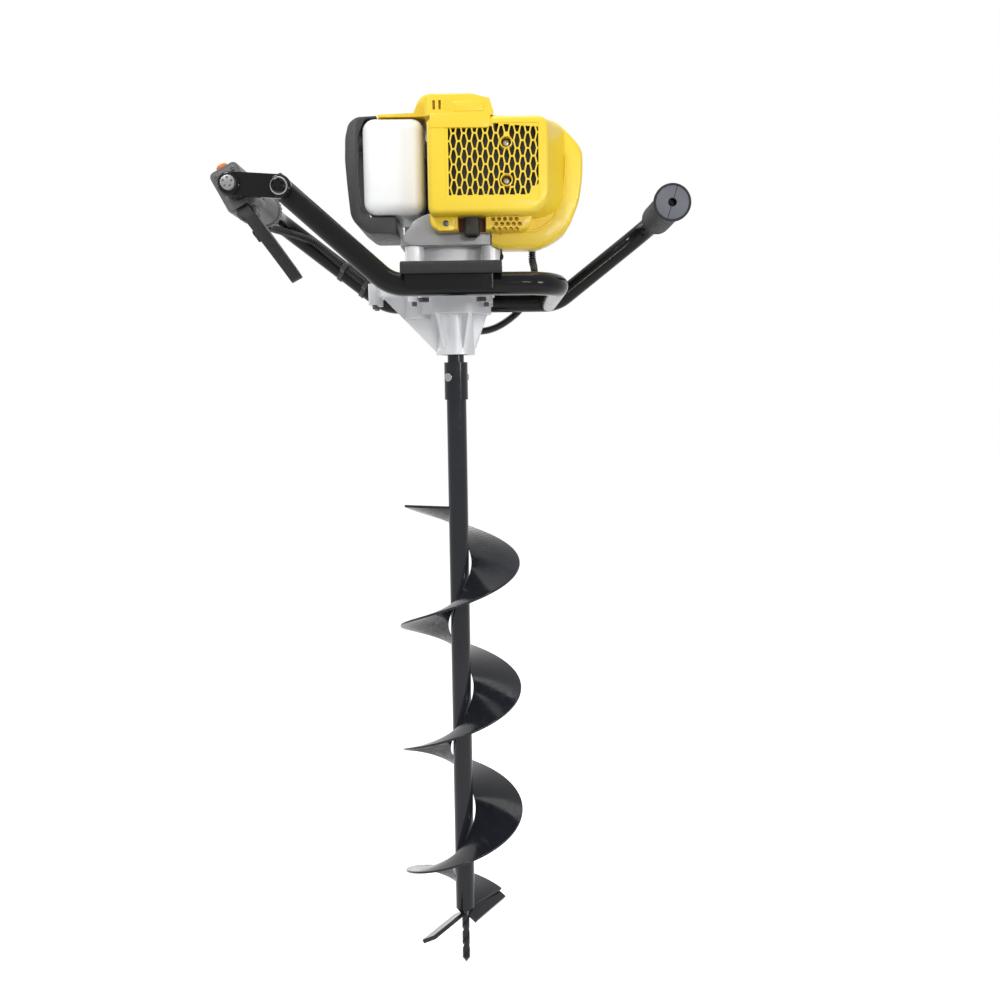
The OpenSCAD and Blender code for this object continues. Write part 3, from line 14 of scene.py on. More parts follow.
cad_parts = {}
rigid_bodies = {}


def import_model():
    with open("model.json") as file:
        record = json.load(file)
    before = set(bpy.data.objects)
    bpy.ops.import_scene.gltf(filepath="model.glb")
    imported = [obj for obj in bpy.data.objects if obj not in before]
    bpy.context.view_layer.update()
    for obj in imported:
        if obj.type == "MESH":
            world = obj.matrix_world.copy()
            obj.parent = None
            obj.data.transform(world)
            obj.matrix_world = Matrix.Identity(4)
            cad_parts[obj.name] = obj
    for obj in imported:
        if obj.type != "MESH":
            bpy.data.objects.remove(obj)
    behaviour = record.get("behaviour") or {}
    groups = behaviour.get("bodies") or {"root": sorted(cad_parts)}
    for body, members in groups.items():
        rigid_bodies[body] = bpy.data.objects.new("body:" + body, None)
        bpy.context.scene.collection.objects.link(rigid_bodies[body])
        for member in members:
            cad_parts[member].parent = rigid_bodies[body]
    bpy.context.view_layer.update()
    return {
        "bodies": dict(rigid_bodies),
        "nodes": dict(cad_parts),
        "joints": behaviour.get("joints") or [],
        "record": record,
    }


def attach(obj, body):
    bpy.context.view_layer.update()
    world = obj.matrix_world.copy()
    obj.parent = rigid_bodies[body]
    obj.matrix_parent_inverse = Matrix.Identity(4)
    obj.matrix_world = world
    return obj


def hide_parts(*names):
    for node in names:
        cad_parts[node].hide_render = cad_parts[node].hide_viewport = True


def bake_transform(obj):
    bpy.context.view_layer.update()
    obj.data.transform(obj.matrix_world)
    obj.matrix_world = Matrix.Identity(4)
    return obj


LOG = logging.getLogger("earth_auger")
MM = 0.001
FRAME_BODY = "frame"
CRANK_Z = 957.0  # height of the crankshaft
SHARP_DEG = 35.0  # edges sharper than this stay crisp
ROUND_DEG = 34.0  # edges of a CAD node that turn more than this are rounded
FLAT_DEG = 1.0  # faces of a CAD node that turn less than this are joined
MERGE_MM = 0.002  # corners of a CAD node this close are joined
WELD_MM = 0.001  # corners of a new mesh this close are joined
NEAR_MM = 0.01  # corners this close to a depth lie at it
FACING = -0.999  # normal along Y of a face that looks to the front
DRIFT_MM = 22.0  # size of the clouds in a colour
SCUFF_MM = 7.0  # size of the clouds in a gloss
GLOSS_SWING = 0.07  # how far the roughness varies
SENSOR_MM = 36.0  # width of the camera's sensor
FRAME_PX = 1000.0  # width of the photograph

Shape = bmesh.types.BMesh
Vert = bmesh.types.BMVert
Edge = bmesh.types.BMEdge
Face = bmesh.types.BMFace
Piece = bpy.types.Object
Nodes = bpy.types.Nodes
Socket = bpy.types.NodeSocket
Pair = tuple[float, float]
Triple = tuple[float, float, float]
Place = Sequence[float]


def fill(node: bpy.types.Node, values: dict[str | int, object]) -> bpy.types.Node:
    """Sets inputs of a shader node, or links them where the value is a socket.

    Args:
        node: The node.
        values: Values by the name or number of the input.

    Returns:
        The node.
    """
    for key, value in values.items():
        if isinstance(value, Socket):
            node.id_data.links.new(value, node.inputs[key])
        else:
            node.inputs[key].default_value = value
    return node


class Grain(Enum):
    """How a surface is marked close up."""

    MOULDED = "moulded"
    CAST = "cast"
    PAINT = "paint"
    GROUND = "ground"
    RUBBER = "rubber"


@dataclass(frozen=True)
class Finish:
    """One surface finish, built as a node material on Object coordinates."""

    name: str  # name of the material
    slot: str  # material slot of the record that the finish belongs to
    colour: Triple  # base colour in linear RGB
    roughness: float  # mean roughness
    grain: Grain  # kind of close-up marking
    grain_mm: float = 1.0  # size of the marking in millimetres
    depth_mm: float = 0.05  # depth of the marking in millimetres
    metallic: float = 0.0  # metalness from 0 to 1
    coat: float = 0.0  # weight of a clear coat
    vary: float = 0.06  # how far the colour drifts over the surface
    subsurface: float = 0.0  # weight of light scattered below the surface
    specular: float = 0.5  # strength of the mirror reflection

    def material(self) -> bpy.types.Material:
        """Returns the material, made on the first call."""
        return bpy.data.materials.get(self.name) or self._build()

    def _build(self) -> bpy.types.Material:
        """Builds the material with drift, gloss variation and close-up bump.

        Returns:
            The new material.
        """
        material = bpy.data.materials.new(self.name)
        material.use_nodes = True
        nodes = material.node_tree.nodes
        place = nodes.new("ShaderNodeTexCoord").outputs["Object"]
        tone = nodes.new("ShaderNodeMix")
        tone.data_type = "RGBA"
        fill(tone, {"Factor": self._noise(nodes, place, DRIFT_MM, 4.0), "A": self._tint(1 - self.vary),
                    "B": self._tint(1 + self.vary)})
        gloss = fill(nodes.new("ShaderNodeMapRange"), {
            "Value": self._noise(nodes, place, SCUFF_MM, 6.0), "From Min": 0.3, "From Max": 0.7,
            "To Min": max(0.05, self.roughness - GLOSS_SWING), "To Max": min(1.0, self.roughness + GLOSS_SWING)})
        bump = fill(nodes.new("ShaderNodeBump"), {
            "Height": self._marking(nodes, place), "Strength": 0.6, "Distance": self.depth_mm * MM})
        fill(nodes["Principled BSDF"], {
            "Base Color": tone.outputs["Result"], "Roughness": gloss.outputs["Result"],
            "Normal": bump.outputs["Normal"], "Metallic": self.metallic, "Specular IOR Level": self.specular,
            "Coat Weight": self.coat, "Coat Roughness": 0.12, "Subsurface Weight": self.subsurface,
            "Subsurface Radius": (0.006, 0.006, 0.006)})
        return material

    def _tint(self, share: float) -> tuple[float, ...]:
        """Returns the colour times a share, with alpha."""
        return (*(min(1.0, c * share) for c in self.colour), 1)

    def _noise(self, nodes: Nodes, place: Socket, size_mm: float, detail: float) -> Socket:
        """Returns the value, from 0 to 1, of a new cloudy texture at a place."""
        noise = nodes.new("ShaderNodeTexNoise")
        return fill(noise, {"Vector": place, "Scale": 1 / (size_mm * MM), "Detail": detail}).outputs["Fac"]

    def _marking(self, nodes: Nodes, place: Socket) -> Socket:
        """Adds the close-up marking.

        Args:
            nodes: Nodes of the material.
            place: Coordinates to read.

        Returns:
            Its height.
        """
        if self.grain is Grain.GROUND:
            lines = fill(nodes.new("ShaderNodeMapping"), {"Vector": place, "Scale": (1.0, 1.0, 14.0)})
            return self._noise(nodes, lines.outputs["Vector"], self.grain_mm * 4, 3.0)
        if self.grain in (Grain.MOULDED, Grain.RUBBER):
            cells = fill(nodes.new("ShaderNodeTexVoronoi"), {"Vector": place, "Scale": 1 / (self.grain_mm * MM)})
            return cells.outputs["Distance"]
        return self._noise(nodes, place, self.grain_mm, 8.0)


YELLOW = Finish("yellow moulded cover", "yellow_shell", (0.875, 0.625, 0.028), 0.34, Grain.MOULDED, 0.6, 0.02,
                coat=0.15, vary=0.03)
MILKY = Finish("milky tank plastic", "white_tank", (0.94, 0.95, 0.97), 0.38, Grain.MOULDED, 2.2, 0.05,
               vary=0.03, subsurface=0.25)
BLACK_PLASTIC = Finish("black grained plastic", "black_plastic", (0.018, 0.018, 0.019), 0.46, Grain.MOULDED, 0.7, 0.06,
                       vary=0.12)
GREY_PLASTIC = Finish("dark grey grip plastic", "black_plastic", (0.12, 0.12, 0.123), 0.5, Grain.MOULDED, 0.8, 0.06,
                      vary=0.12)
RUBBER = Finish("black rubber", "black_rubber", (0.016, 0.016, 0.017), 0.68, Grain.RUBBER, 1.1, 0.06, vary=0.15,
                specular=0.35)
BLACK_PAINT = Finish("satin black paint", "black_steel", (0.007, 0.007, 0.008), 0.13, Grain.PAINT, 1.6, 0.015,
                     vary=0.15, specular=0.16)
BIT_PAINT = Finish("black bit enamel", "black_steel", (0.015, 0.0162, 0.0215), 0.13, Grain.PAINT, 2.4, 0.025,
                   vary=0.2, specular=0.26)
CAST_ALLOY = Finish("fine cast alloy", "cast_alloy", (0.7, 0.71, 0.73), 0.36, Grain.CAST, 0.9, 0.05,
                    metallic=0.15, vary=0.06)
# painted shade: a darker copy of the cast alloy for the crankcase, standing in for the shade under the tank and covers
SHADED_CASE_ALLOY = Finish("cast alloy darkened as painted shade", "cast_alloy", (0.3, 0.3, 0.305), 0.34, Grain.CAST, 0.9, 0.06,
                    metallic=0.3, vary=0.1)
# painted highlight: near-white alloy standing in for the glare on the brightly lit clutch bell
GLARE_ALLOY = Finish("alloy painted with glare", "cast_alloy", (0.9, 0.9, 0.91), 0.55, Grain.CAST, 0.9, 0.03, vary=0.02)
LEVER_PLASTIC = Finish("black lever plastic", "black_plastic", (0.014, 0.014, 0.015), 0.4, Grain.MOULDED, 0.7, 0.04,
                       vary=0.1, specular=0.3)
ZINC = Finish("bright zinc", "zinc_steel", (0.34, 0.34, 0.35), 0.3, Grain.GROUND, 0.6, 0.02, metallic=1.0, vary=0.06)
DARK_ZINC = Finish("blackened fastener steel", "zinc_steel", (0.11, 0.11, 0.12), 0.36, Grain.GROUND, 0.6, 0.02,
                   metallic=0.9, vary=0.12)
GREY_ZINC = Finish("dull grey zinc", "zinc_steel", (0.26, 0.26, 0.265), 0.42, Grain.GROUND, 0.6, 0.02,
                   metallic=0.6, vary=0.1)
TOOL_STEEL = Finish("ground tool steel", "tool_steel", (0.42, 0.42, 0.43), 0.32, Grain.GROUND, 0.5, 0.03,
                    metallic=1.0, vary=0.1)
# heat-proof black with a warm tint that is painted bounce light from the yellow cover walls round the muffler
EXHAUST = Finish("heat-proof black with painted bounce", "exhaust_steel", (0.012, 0.009, 0.006), 0.6, Grain.CAST, 0.8, 0.08, vary=0.25)
RED_SHIELD = Finish("rust red shield", "red_shield", (0.13, 0.03, 0.014), 0.55, Grain.CAST, 0.8, 0.05, vary=0.2)
ORANGE = Finish("orange moulded plastic", "orange_plastic", (0.76, 0.2, 0.05), 0.36, Grain.MOULDED, 0.6, 0.02,
                vary=0.04)
AMBER = Finish("amber soft plastic", "clear_rubber", (0.62, 0.48, 0.22), 0.35, Grain.RUBBER, 1.5, 0.02, vary=0.05,
               subsurface=0.3)
GREY_RUBBER = Finish("grey rubber end", "black_rubber", (0.115, 0.12, 0.142), 0.6, Grain.RUBBER, 1.1, 0.05, vary=0.1)
ROPE = Finish("braided rope", "rope", (0.72, 0.71, 0.66), 0.75, Grain.RUBBER, 1.0, 0.2, vary=0.15)


class Workshop:
    """Makes meshes into pieces that ride on the frame's bodies."""

    def __init__(self, frame: dict) -> None:
        """Keeps the loaded frame.
        """
        self.nodes: dict[str, Piece] = frame["nodes"]
        self.body_of: dict[str, str] = {
            node: body for body, members in frame["record"]["behaviour"]["bodies"].items() for node in members
        }

    def paint(self, finish: Finish, *nodes: str) -> None:
        """Gives CAD nodes that stay in view a finish.

        Args:
            finish: The finish to give.
            nodes: Names of the nodes.
        """
        for node in nodes:
            mesh = self.nodes[node].data
            mesh.materials.clear()
            mesh.materials.append(finish.material())

    def add(self, name: str, bm: Shape, finish: Finish, body: str = FRAME_BODY,
            replaces: Sequence[str] = (), sharp_deg: float = SHARP_DEG) -> Piece:
        """Makes a piece from a bmesh in millimetres.

        Args:
            name: Name of the piece.
            bm: Its mesh in millimetres, which is freed.
            finish: Its finish.
            body: The body that it rides on.
            replaces: CAD nodes that it stands for.
            sharp_deg: Edges sharper than this stay crisp.

        Returns:
            The piece.
        """
        bmesh.ops.scale(bm, vec=(MM, MM, MM), verts=bm.verts)
        mesh = bpy.data.meshes.new(name)
        bm.to_mesh(mesh)
        bm.free()
        return self.place(name, mesh, finish, body, replaces, sharp_deg)

    def place(self, name: str, mesh: bpy.types.Mesh, finish: Finish, body: str = FRAME_BODY,
              replaces: Sequence[str] = (), sharp_deg: float = SHARP_DEG) -> Piece:
        """Makes a piece from a mesh in metres.

        Args:
            name: Name of the piece.
            mesh: Its mesh.
            finish: Its finish.
            body: The body that it rides on.
            replaces: CAD nodes that it stands for.
            sharp_deg: Edges sharper than this stay crisp.

        Returns:
            The piece.
        """
        piece = self.new_object(name, mesh, finish)
        mesh.set_sharp_from_angle(angle=math.radians(sharp_deg))
        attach(piece, body)
        if replaces:
            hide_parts(*replaces)
        LOG.info("%s: %d faces on %s", name, len(mesh.polygons), body)
        return piece

    def lathe(self, name: str, profile: Sequence[Pair], starts: Iterable[Place], axis: Place, finish: Finish,
              steps: int, body: str = FRAME_BODY, replaces: Sequence[str] = ()) -> Piece:
        """Makes a piece that is turned on a lathe.

        Args:
            name: Name of the piece.
            profile: Pairs of distance along the axis and radius, from end to end.
            starts: Start of each axis.
            axis: Direction of the axes.
            finish: Its finish.
            steps: Steps round the axis.
            body: The body that it rides on.
            replaces: CAD nodes that it stands for.

        Returns:
            The piece.
        """
        bm = bmesh.new()
        for start in starts:
            turned(bm, profile, start, axis, steps)
        return self.add(name, bm, finish, body, replaces)

    def new_object(self, name: str, mesh: bpy.types.Mesh, finish: Finish) -> Piece:
        """Makes a smooth object in the scene.

        Args:
            name: Name of the object.
            mesh: Its mesh.
            finish: Its finish.

        Returns:
            The object.
        """
        mesh.shade_smooth()
        mesh.materials.clear()
        mesh.materials.append(finish.material())
        piece = bpy.data.objects.new(name, mesh)
        bpy.context.scene.collection.objects.link(piece)
        return piece

    def soften(self, node: str, finish: Finish, width_mm: float, segments: int = 2) -> Piece:
        """Replaces a CAD node by a copy with rounded edges.

        Args:
            node: Name of the node.
            finish: Finish of the copy.
            width_mm: Width of the rounding.
            segments: Steps of the rounding.

        Returns:
            The copy.
        """
        bm = bmesh.new()
        bm.from_mesh(self.nodes[node].data)
        bmesh.ops.remove_doubles(bm, verts=bm.verts, dist=MERGE_MM * MM)
        bmesh.ops.dissolve_limit(bm, angle_limit=math.radians(FLAT_DEG), verts=bm.verts, edges=bm.edges)
        bmesh.ops.scale(bm, vec=(1 / MM,) * 3, verts=bm.verts)
        piece = self.add(f"{node}_dressed", bm, finish, self.body_of[node], (node,))
        rounding = piece.modifiers.new("rounding", "BEVEL")
        rounding.width = width_mm * MM
        rounding.segments = segments
        rounding.limit_method = "ANGLE"
        rounding.angle_limit = math.radians(ROUND_DEG)
        return piece

    def wall(self, piece: Piece, thickness_mm: float) -> None:
        """Gives an open skin a wall that grows inward.

        Args:
            piece: The piece.
            thickness_mm: Thickness of the wall.
        """
        wall = piece.modifiers.new("wall", "SOLIDIFY")
        wall.thickness = thickness_mm * MM
        wall.offset = -1.0

    def cut(self, piece: Piece, cutter: Shape) -> None:
        """Takes a shape out of a piece and bakes its modifiers.

        Args:
            piece: The piece to cut.
            cutter: The shape to take out, in millimetres, which is freed.
        """
        bmesh.ops.scale(cutter, vec=(MM, MM, MM), verts=cutter.verts)
        bmesh.ops.recalc_face_normals(cutter, faces=cutter.faces)
        mesh = bpy.data.meshes.new("cutter")
        cutter.to_mesh(mesh)
        cutter.free()
        tool = bpy.data.objects.new("cutter", mesh)
        bpy.context.scene.collection.objects.link(tool)
        opening = piece.modifiers.new("opening", "BOOLEAN")
        opening.operation = "DIFFERENCE"
        opening.solver = "EXACT"
        opening.object = tool
        bpy.context.view_layer.update()
        graph = bpy.context.evaluated_depsgraph_get()
        mesh = bpy.data.meshes.new_from_object(piece.evaluated_get(graph))
        piece.modifiers.clear()
        piece.data = mesh
        mesh.shade_smooth()
        mesh.set_sharp_from_angle(angle=math.radians(SHARP_DEG))
        bpy.data.objects.remove(tool)


def outline_face(bm: Shape, outline: Sequence[Pair], y: float) -> Face:
    """Returns a new upright face with corners in X and Z at one depth."""
    return bm.faces.new([bm.verts.new((x, y, z)) for x, z in outline])


def round_corners(bm: Shape, radii: Callable[[Vector], float], segments: int) -> None:
    """Rounds the corners of the flat faces drawn so far.

    Args:
        bm: Mesh that holds only flat faces.
        radii: Gives the radius for a corner, or 0 to leave it.
        segments: Steps of a corner.
    """
    wanted: dict[float, list[Vert]] = {}
    for vert in bm.verts:
        wanted.setdefault(radii(vert.co), []).append(vert)
    for radius, verts in wanted.items():
        if radius > 0:
            bmesh.ops.bevel(bm, geom=[v for v in verts if v.is_valid], offset=radius, affect="VERTICES",
                            segments=segments, profile=0.5, material=-1, clamp_overlap=True)


def pull(bm: Shape, faces: Sequence[Face], step: Vector) -> None:
    """Extrudes faces by a step and keeps the start as the other cap.

    Args:
        bm: Mesh to work on.
        faces: Faces to extrude.
        step: How far to move the new faces.
    """
    made = bmesh.ops.extrude_face_region(bm, geom=list(faces), use_keep_orig=True)
    verts = [g for g in made["geom"] if isinstance(g, Vert)]
    bmesh.ops.translate(bm, vec=step, verts=verts)
    bmesh.ops.recalc_face_normals(bm, faces=bm.faces)


def edges_at(bm: Shape, *depths: float) -> list[Edge]:
    """Returns the edges that lie at given depths along Y."""
    return [e for y in depths for e in bm.edges if all(abs(v.co.y - y) < NEAR_MM for v in e.verts)]


def round_edges(bm: Shape, edges: Sequence[Edge], radius: float, segments: int) -> None:
    """Rounds edges to a radius in a number of steps."""
    bmesh.ops.bevel(bm, geom=list(edges), offset=radius, affect="EDGES", segments=segments, profile=0.5,
                    material=-1, clamp_overlap=True)


def edges_along(edges: Iterable[Edge], axis: int) -> list[Edge]:
    """Returns the edges that run along an axis, 0 for X."""
    return [e for e in edges if abs(e.verts[0].co[axis] - e.verts[1].co[axis]) > 1]


def moulding(outline: Sequence[Pair], depth: Pair, radii: Callable[[Vector], float], segments: int = 6) -> Shape:
    """Pulls an upright outline with rounded corners along Y.

    Args:
        outline: Corners in X and Z.
        depth: Where it starts and ends along Y.
        radii: Gives the radius for a corner, or 0 to leave it.
        segments: Steps of a corner.

    Returns:
        Mesh of the moulding.
    """
    bm = bmesh.new()
    outline_face(bm, outline, depth[0])
    round_corners(bm, radii, segments)
    pull(bm, list(bm.faces), Vector((0, depth[1] - depth[0], 0)))
    return bm


def plate(bm: Shape, low: Place, high: Place, corner: float) -> None:
    """Adds a plate that faces the front, with rounded corners."""
    sides = dict.fromkeys(e for v in block(bm, low, high) for e in v.link_edges)
    round_edges(bm, edges_along(sides, 1), corner, 3)


def rounded_block(low: Place, high: Place, radius: float, segments: int) -> Shape:
    """Makes a box with all its edges rounded.

    Args:
        low: Lowest corner.
        high: Highest corner.
        radius: Radius of the rounding.
        segments: Steps of the rounding.

    Returns:
        Mesh of the box.
    """
    bm = bmesh.new()
    block(bm, low, high)
    round_edges(bm, list(bm.edges), radius, segments)
    return bm


def spun(degrees: float, axis: str) -> Matrix:
    """Returns a turn of some degrees about a named axis."""
    return Matrix.Rotation(math.radians(degrees), 4, axis)


def drums(centres: Iterable[Place], axis: Place, radius: float, length: float, sides: int = 32) -> Shape:
    """Makes closed cylinders that are alike.

    Args:
        centres: Middle of each cylinder.
        axis: Direction of their axes.
        radius: Their radius.
        length: Their length.
        sides: Sides of their outline.

    Returns:
        Mesh of the cylinders.
    """
    bm = bmesh.new()
    turn = Vector((0, 0, 1)).rotation_difference(Vector(axis)).to_matrix().to_4x4()
    for centre in centres:
        bmesh.ops.create_cone(bm, cap_ends=True, segments=sides, radius1=radius, radius2=radius, depth=length,
                              matrix=Matrix.Translation(Vector(centre)) @ turn)
    return bm


def block(bm: Shape, low: Place, high: Place) -> list[Vert]:
    """Adds a box to a mesh.

    Args:
        bm: Mesh to add to.
        low: Lowest corner.
        high: Highest corner.

    Returns:
        Corners of the box.
    """
    low_v, high_v = Vector(low), Vector(high)
    made = bmesh.ops.create_cube(bm, size=1.0, matrix=Matrix.Translation((low_v + high_v) / 2)
                                 @ Matrix.Diagonal((*(high_v - low_v), 1.0)))
    return made["verts"]


def turned(bm: Shape, profile: Sequence[Pair], centre: Place, axis: Place, steps: int) -> None:
    """Adds a shape turned on a lathe.

    Args:
        bm: Mesh to add to.
        profile: Pairs of distance along the axis and radius, from end to end.
        centre: Start of the axis.
        axis: Direction of the axis.
        steps: Steps round the axis.
    """
    start, along = Vector(centre), Vector(axis).normalized()
    side = along.orthogonal().normalized()
    verts = [bm.verts.new(start + along * d + side * r) for d, r in profile]
    edges = [bm.edges.new(pair) for pair in zip(verts, verts[1:])]
    bmesh.ops.spin(bm, geom=verts + edges, cent=start, axis=along, angle=math.tau, steps=steps, use_merge=True,
                   use_duplicate=False)
    bmesh.ops.remove_doubles(bm, verts=bm.verts, dist=WELD_MM)
    bmesh.ops.recalc_face_normals(bm, faces=bm.faces)


def bent_path(corners: Sequence[Place], radius: float, steps: int = 12) -> list[Vector]:
    """Rounds the corners of a chain.

    Args:
        corners: Corners of the chain.
        radius: Radius of each bend.
        steps: Points in each bend.

    Returns:
        Points along the chain.
    """
    points = [Vector(corners[0])]
    for before, corner, after in zip(corners, corners[1:], corners[2:]):
        into, out = (Vector(corner) - Vector(before)).normalized(), (Vector(after) - Vector(corner)).normalized()
        turn = into.angle(out)
        start = Vector(corner) - into * radius * math.tan(turn / 2)
        inward = (out - into * into.dot(out)).normalized()
        for i in range(steps + 1):
            a = turn * i / steps
            points.append(start + into * radius * math.sin(a) + inward * radius * (1 - math.cos(a)))
    points.append(Vector(corners[-1]))
    return points


def swept(name: str, points: Sequence[Vector], radii: Sequence[float], sides: int) -> bpy.types.Mesh:
    """Sweeps a circle along points.

    Args:
        name: Name of the mesh.
        points: Points of the path, in millimetres.
        radii: Radius at each point, in millimetres.
        sides: Bevel resolution of the section.

    Returns:
        Mesh of the sweep, in metres.
    """
    curve = bpy.data.curves.new(name, "CURVE")
    curve.dimensions = "3D"
    curve.bevel_depth = MM
    curve.bevel_resolution = sides
    curve.use_fill_caps = True
    spline = curve.splines.new("POLY")
    spline.points.add(len(points) - 1)
    for point, place, radius in zip(spline.points, points, radii):
        point.co = (*(place * MM), 1)
        point.radius = radius
    holder = bpy.data.objects.new(name, curve)
    bpy.context.scene.collection.objects.link(holder)
    bpy.context.view_layer.update()
    graph = bpy.context.evaluated_depsgraph_get()
    mesh = bpy.data.meshes.new_from_object(holder.evaluated_get(graph))
    bpy.data.objects.remove(holder)
    return mesh


def smooth_route(points: Sequence[Place], step: float) -> list[Vector]:
    """Draws a smooth curve through a route.

    Args:
        points: Points of the route.
        step: Distance between the points that come back.

    Returns:
        Evenly spaced points on the curve.
    """
    route = [Vector(p) for p in points]
    dense: list[Vector] = []
    for i in range(len(route) - 1):
        a, b = route[max(0, i - 1)], route[i]
        c, d = route[i + 1], route[min(len(route) - 1, i + 2)]
        for k in range(20):
            t = k / 20
            dense.append(0.5 * (2 * b + (c - a) * t + (2 * a - 5 * b + 4 * c - d) * t * t
                                + (3 * b - a - 3 * c + d) * t ** 3))
    dense.append(route[-1])
    even, left = [dense[0]], step
    for a, b in zip(dense, dense[1:]):
        gap = (b - a).length
        done = 0.0
        while gap - done >= left:
            done += left
            even.append(a.lerp(b, done / gap))
            left = step
        left -= gap - done
    even.append(dense[-1])
    return even


@dataclass
class Assembly:
    """A group of pieces that are built together."""

    shop: Workshop  # where the pieces are made

    def build(self) -> None:
        """Builds the pieces."""
        raise NotImplementedError


@dataclass
class DiggingBit(Assembly):
    """The spiral bit, its blades, coupling and bolt."""

    edge: float = 0.8  # rounding of the edges
    body: str = "auger"  # the body that turns
    flight_d: float = 150.0  # outside diameter of the spiral
    lead: float = 158.0  # rise of the spiral in one turn
    thick: float = 3.0  # thickness of the spiral's plate
    stem_d: float = 24.0  # outside diameter of the stem
    left_z: float = 125.0  # height of the spiral's lowest pass on the left
    start_deg: float = 52.0  # angle where the spiral starts
    sweep_deg: float = 1185.0  # angle that it turns through
    stand_off: float = 0.1  # gap between the spiral's two welded ends and the stem
    clear: float = 2.8  # further gap between those ends
    weld: float = 0.03  # share of the spiral's height over which an end closes
    step_deg: float = 5.0  # turn between two sections

    def _flight(self) -> None:
        """Builds the spiral as one rounded section that is turned and raised."""
        outer, half = self.flight_d / 2, self.thick / 2
        inner = self.stem_d / 2 + self.stand_off + self.clear
        steps = int(self.sweep_deg / self.step_deg)
        start = self.left_z + self.lead * (self.start_deg - 180) / 360
        bm = bmesh.new()
        outline_face(bm, [(inner, start - half), (outer, start - half), (outer, start + half),
                          (inner, start + half)], 0.0)
        round_corners(bm, lambda co: 1.0 if co.x > inner + 1 else 0.0, 3)
        bmesh.ops.transform(bm, matrix=spun(self.start_deg, "Z"), verts=bm.verts)
        rise = self.lead * self.sweep_deg / 360 / steps
        bmesh.ops.spin(bm, geom=[*bm.faces, *bm.edges, *bm.verts], cent=(0, 0, 0), axis=(0, 0, 1),
                       dvec=(0, 0, rise), angle=math.radians(self.sweep_deg), steps=steps, use_merge=False,
                       use_normal_flip=False, use_duplicate=False)
        for vert in bm.verts:
            along = (vert.co.z - start) / (rise * steps)
            weld = max(0.0, 1.0 - min(abs(along), abs(1.0 - along)) / self.weld)
            if vert.co.xy.length < inner + 0.5 and weld > 0:
                vert.co.xy = vert.co.xy * (inner - self.clear * min(1.0, weld)) / inner
        bmesh.ops.recalc_face_normals(bm, faces=bm.faces)
        self.shop.add("auger_flight_spiral", bm, BIT_PAINT, self.body, ("auger_flight",), 40.0)

    def build(self) -> None:
        """Dresses the bit."""
        self._flight()
        # node, finish, width of the rounding and its steps
        for row in (("auger_tube", BIT_PAINT, self.edge), ("cutting_blades", BIT_PAINT, self.edge),
                    ("bit_coupler", BIT_PAINT, 1.2, 3), ("coupler_bolt", ZINC, 0.5), ("coupler_nut", ZINC, 0.5),
                    ("output_shaft", BIT_PAINT, 0.6)):
            self.shop.soften(*row)
        self.shop.paint(BIT_PAINT, "pilot_point")
        self.shop.paint(TOOL_STEEL, "output_gear", "countershaft", "countershaft_gear", "input_shaft", "clutch_drum",
                        "crankshaft", "clutch_shoes", "connecting_rod", "shaft_bearings")


@dataclass
class GearCase(Assembly):
    """The gearbox castings and the engine's lower castings."""

    edge: float = 1.4  # rounding of the gearbox's edges
    bell: Pair = (876.2, 899.8)  # foot and top of the pale bell
    apron_y: Pair = (-58.0, -50.0)  # front and back of the crankcase's rounded front

    def _case(self) -> None:
        """Builds the crankcase with its rounded front and the bell below it, painted near-white as glare."""
        low, high = self.bell
        # the crankcase takes the darker alloy as painted shade
        case = self.shop.soften("crankcase", SHADED_CASE_ALLOY, 4.0, 4)
        away = bmesh.new()
        block(away, (-90, -90, low - 20), (90, 90, high))
        self.shop.cut(case, away)
        # the bell's near-white alloy is a painted highlight for glare
        self.shop.lathe("crankcase_bell", [(low, 34.25), (low, 38), (high, 38), (high, 34.25), (low, 34.25)],
                        [(0, 0, 0)], (0, 0, 1), GLARE_ALLOY, 96)
        outline = [(-41, 899), (45, 899), (45, 935), (-28, 935), (-44, 927), (-49, 919), (-57, 909), (-52, 901)]
        apron = moulding(outline, self.apron_y, lambda co: 5.0 if co.x < 0 else 0.0, 4)
        round_edges(apron, edges_at(apron, self.apron_y[0]), 3.2, 4)
        # the rounded front takes the same darker alloy as painted shade
        self.shop.add("crankcase_front", apron, SHADED_CASE_ALLOY)

    def build(self) -> None:
        """Dresses the castings."""
        self.shop.soften("gearbox_housing", CAST_ALLOY, self.edge, 3)
        self.shop.soften("gearbox_cover", CAST_ALLOY, self.edge, 3)
        self._case()
        self.shop.soften("engine_posts", CAST_ALLOY, 1.0)
        self.shop.soften("gearbox_screws", DARK_ZINC, 0.5)
        self.shop.paint(CAST_ALLOY, "cylinder", "flywheel", "piston", "carburetor")
        self.shop.paint(ZINC, "spark_plug")
        self.shop.paint(BLACK_PLASTIC, "plug_boot", "starter_pulley")


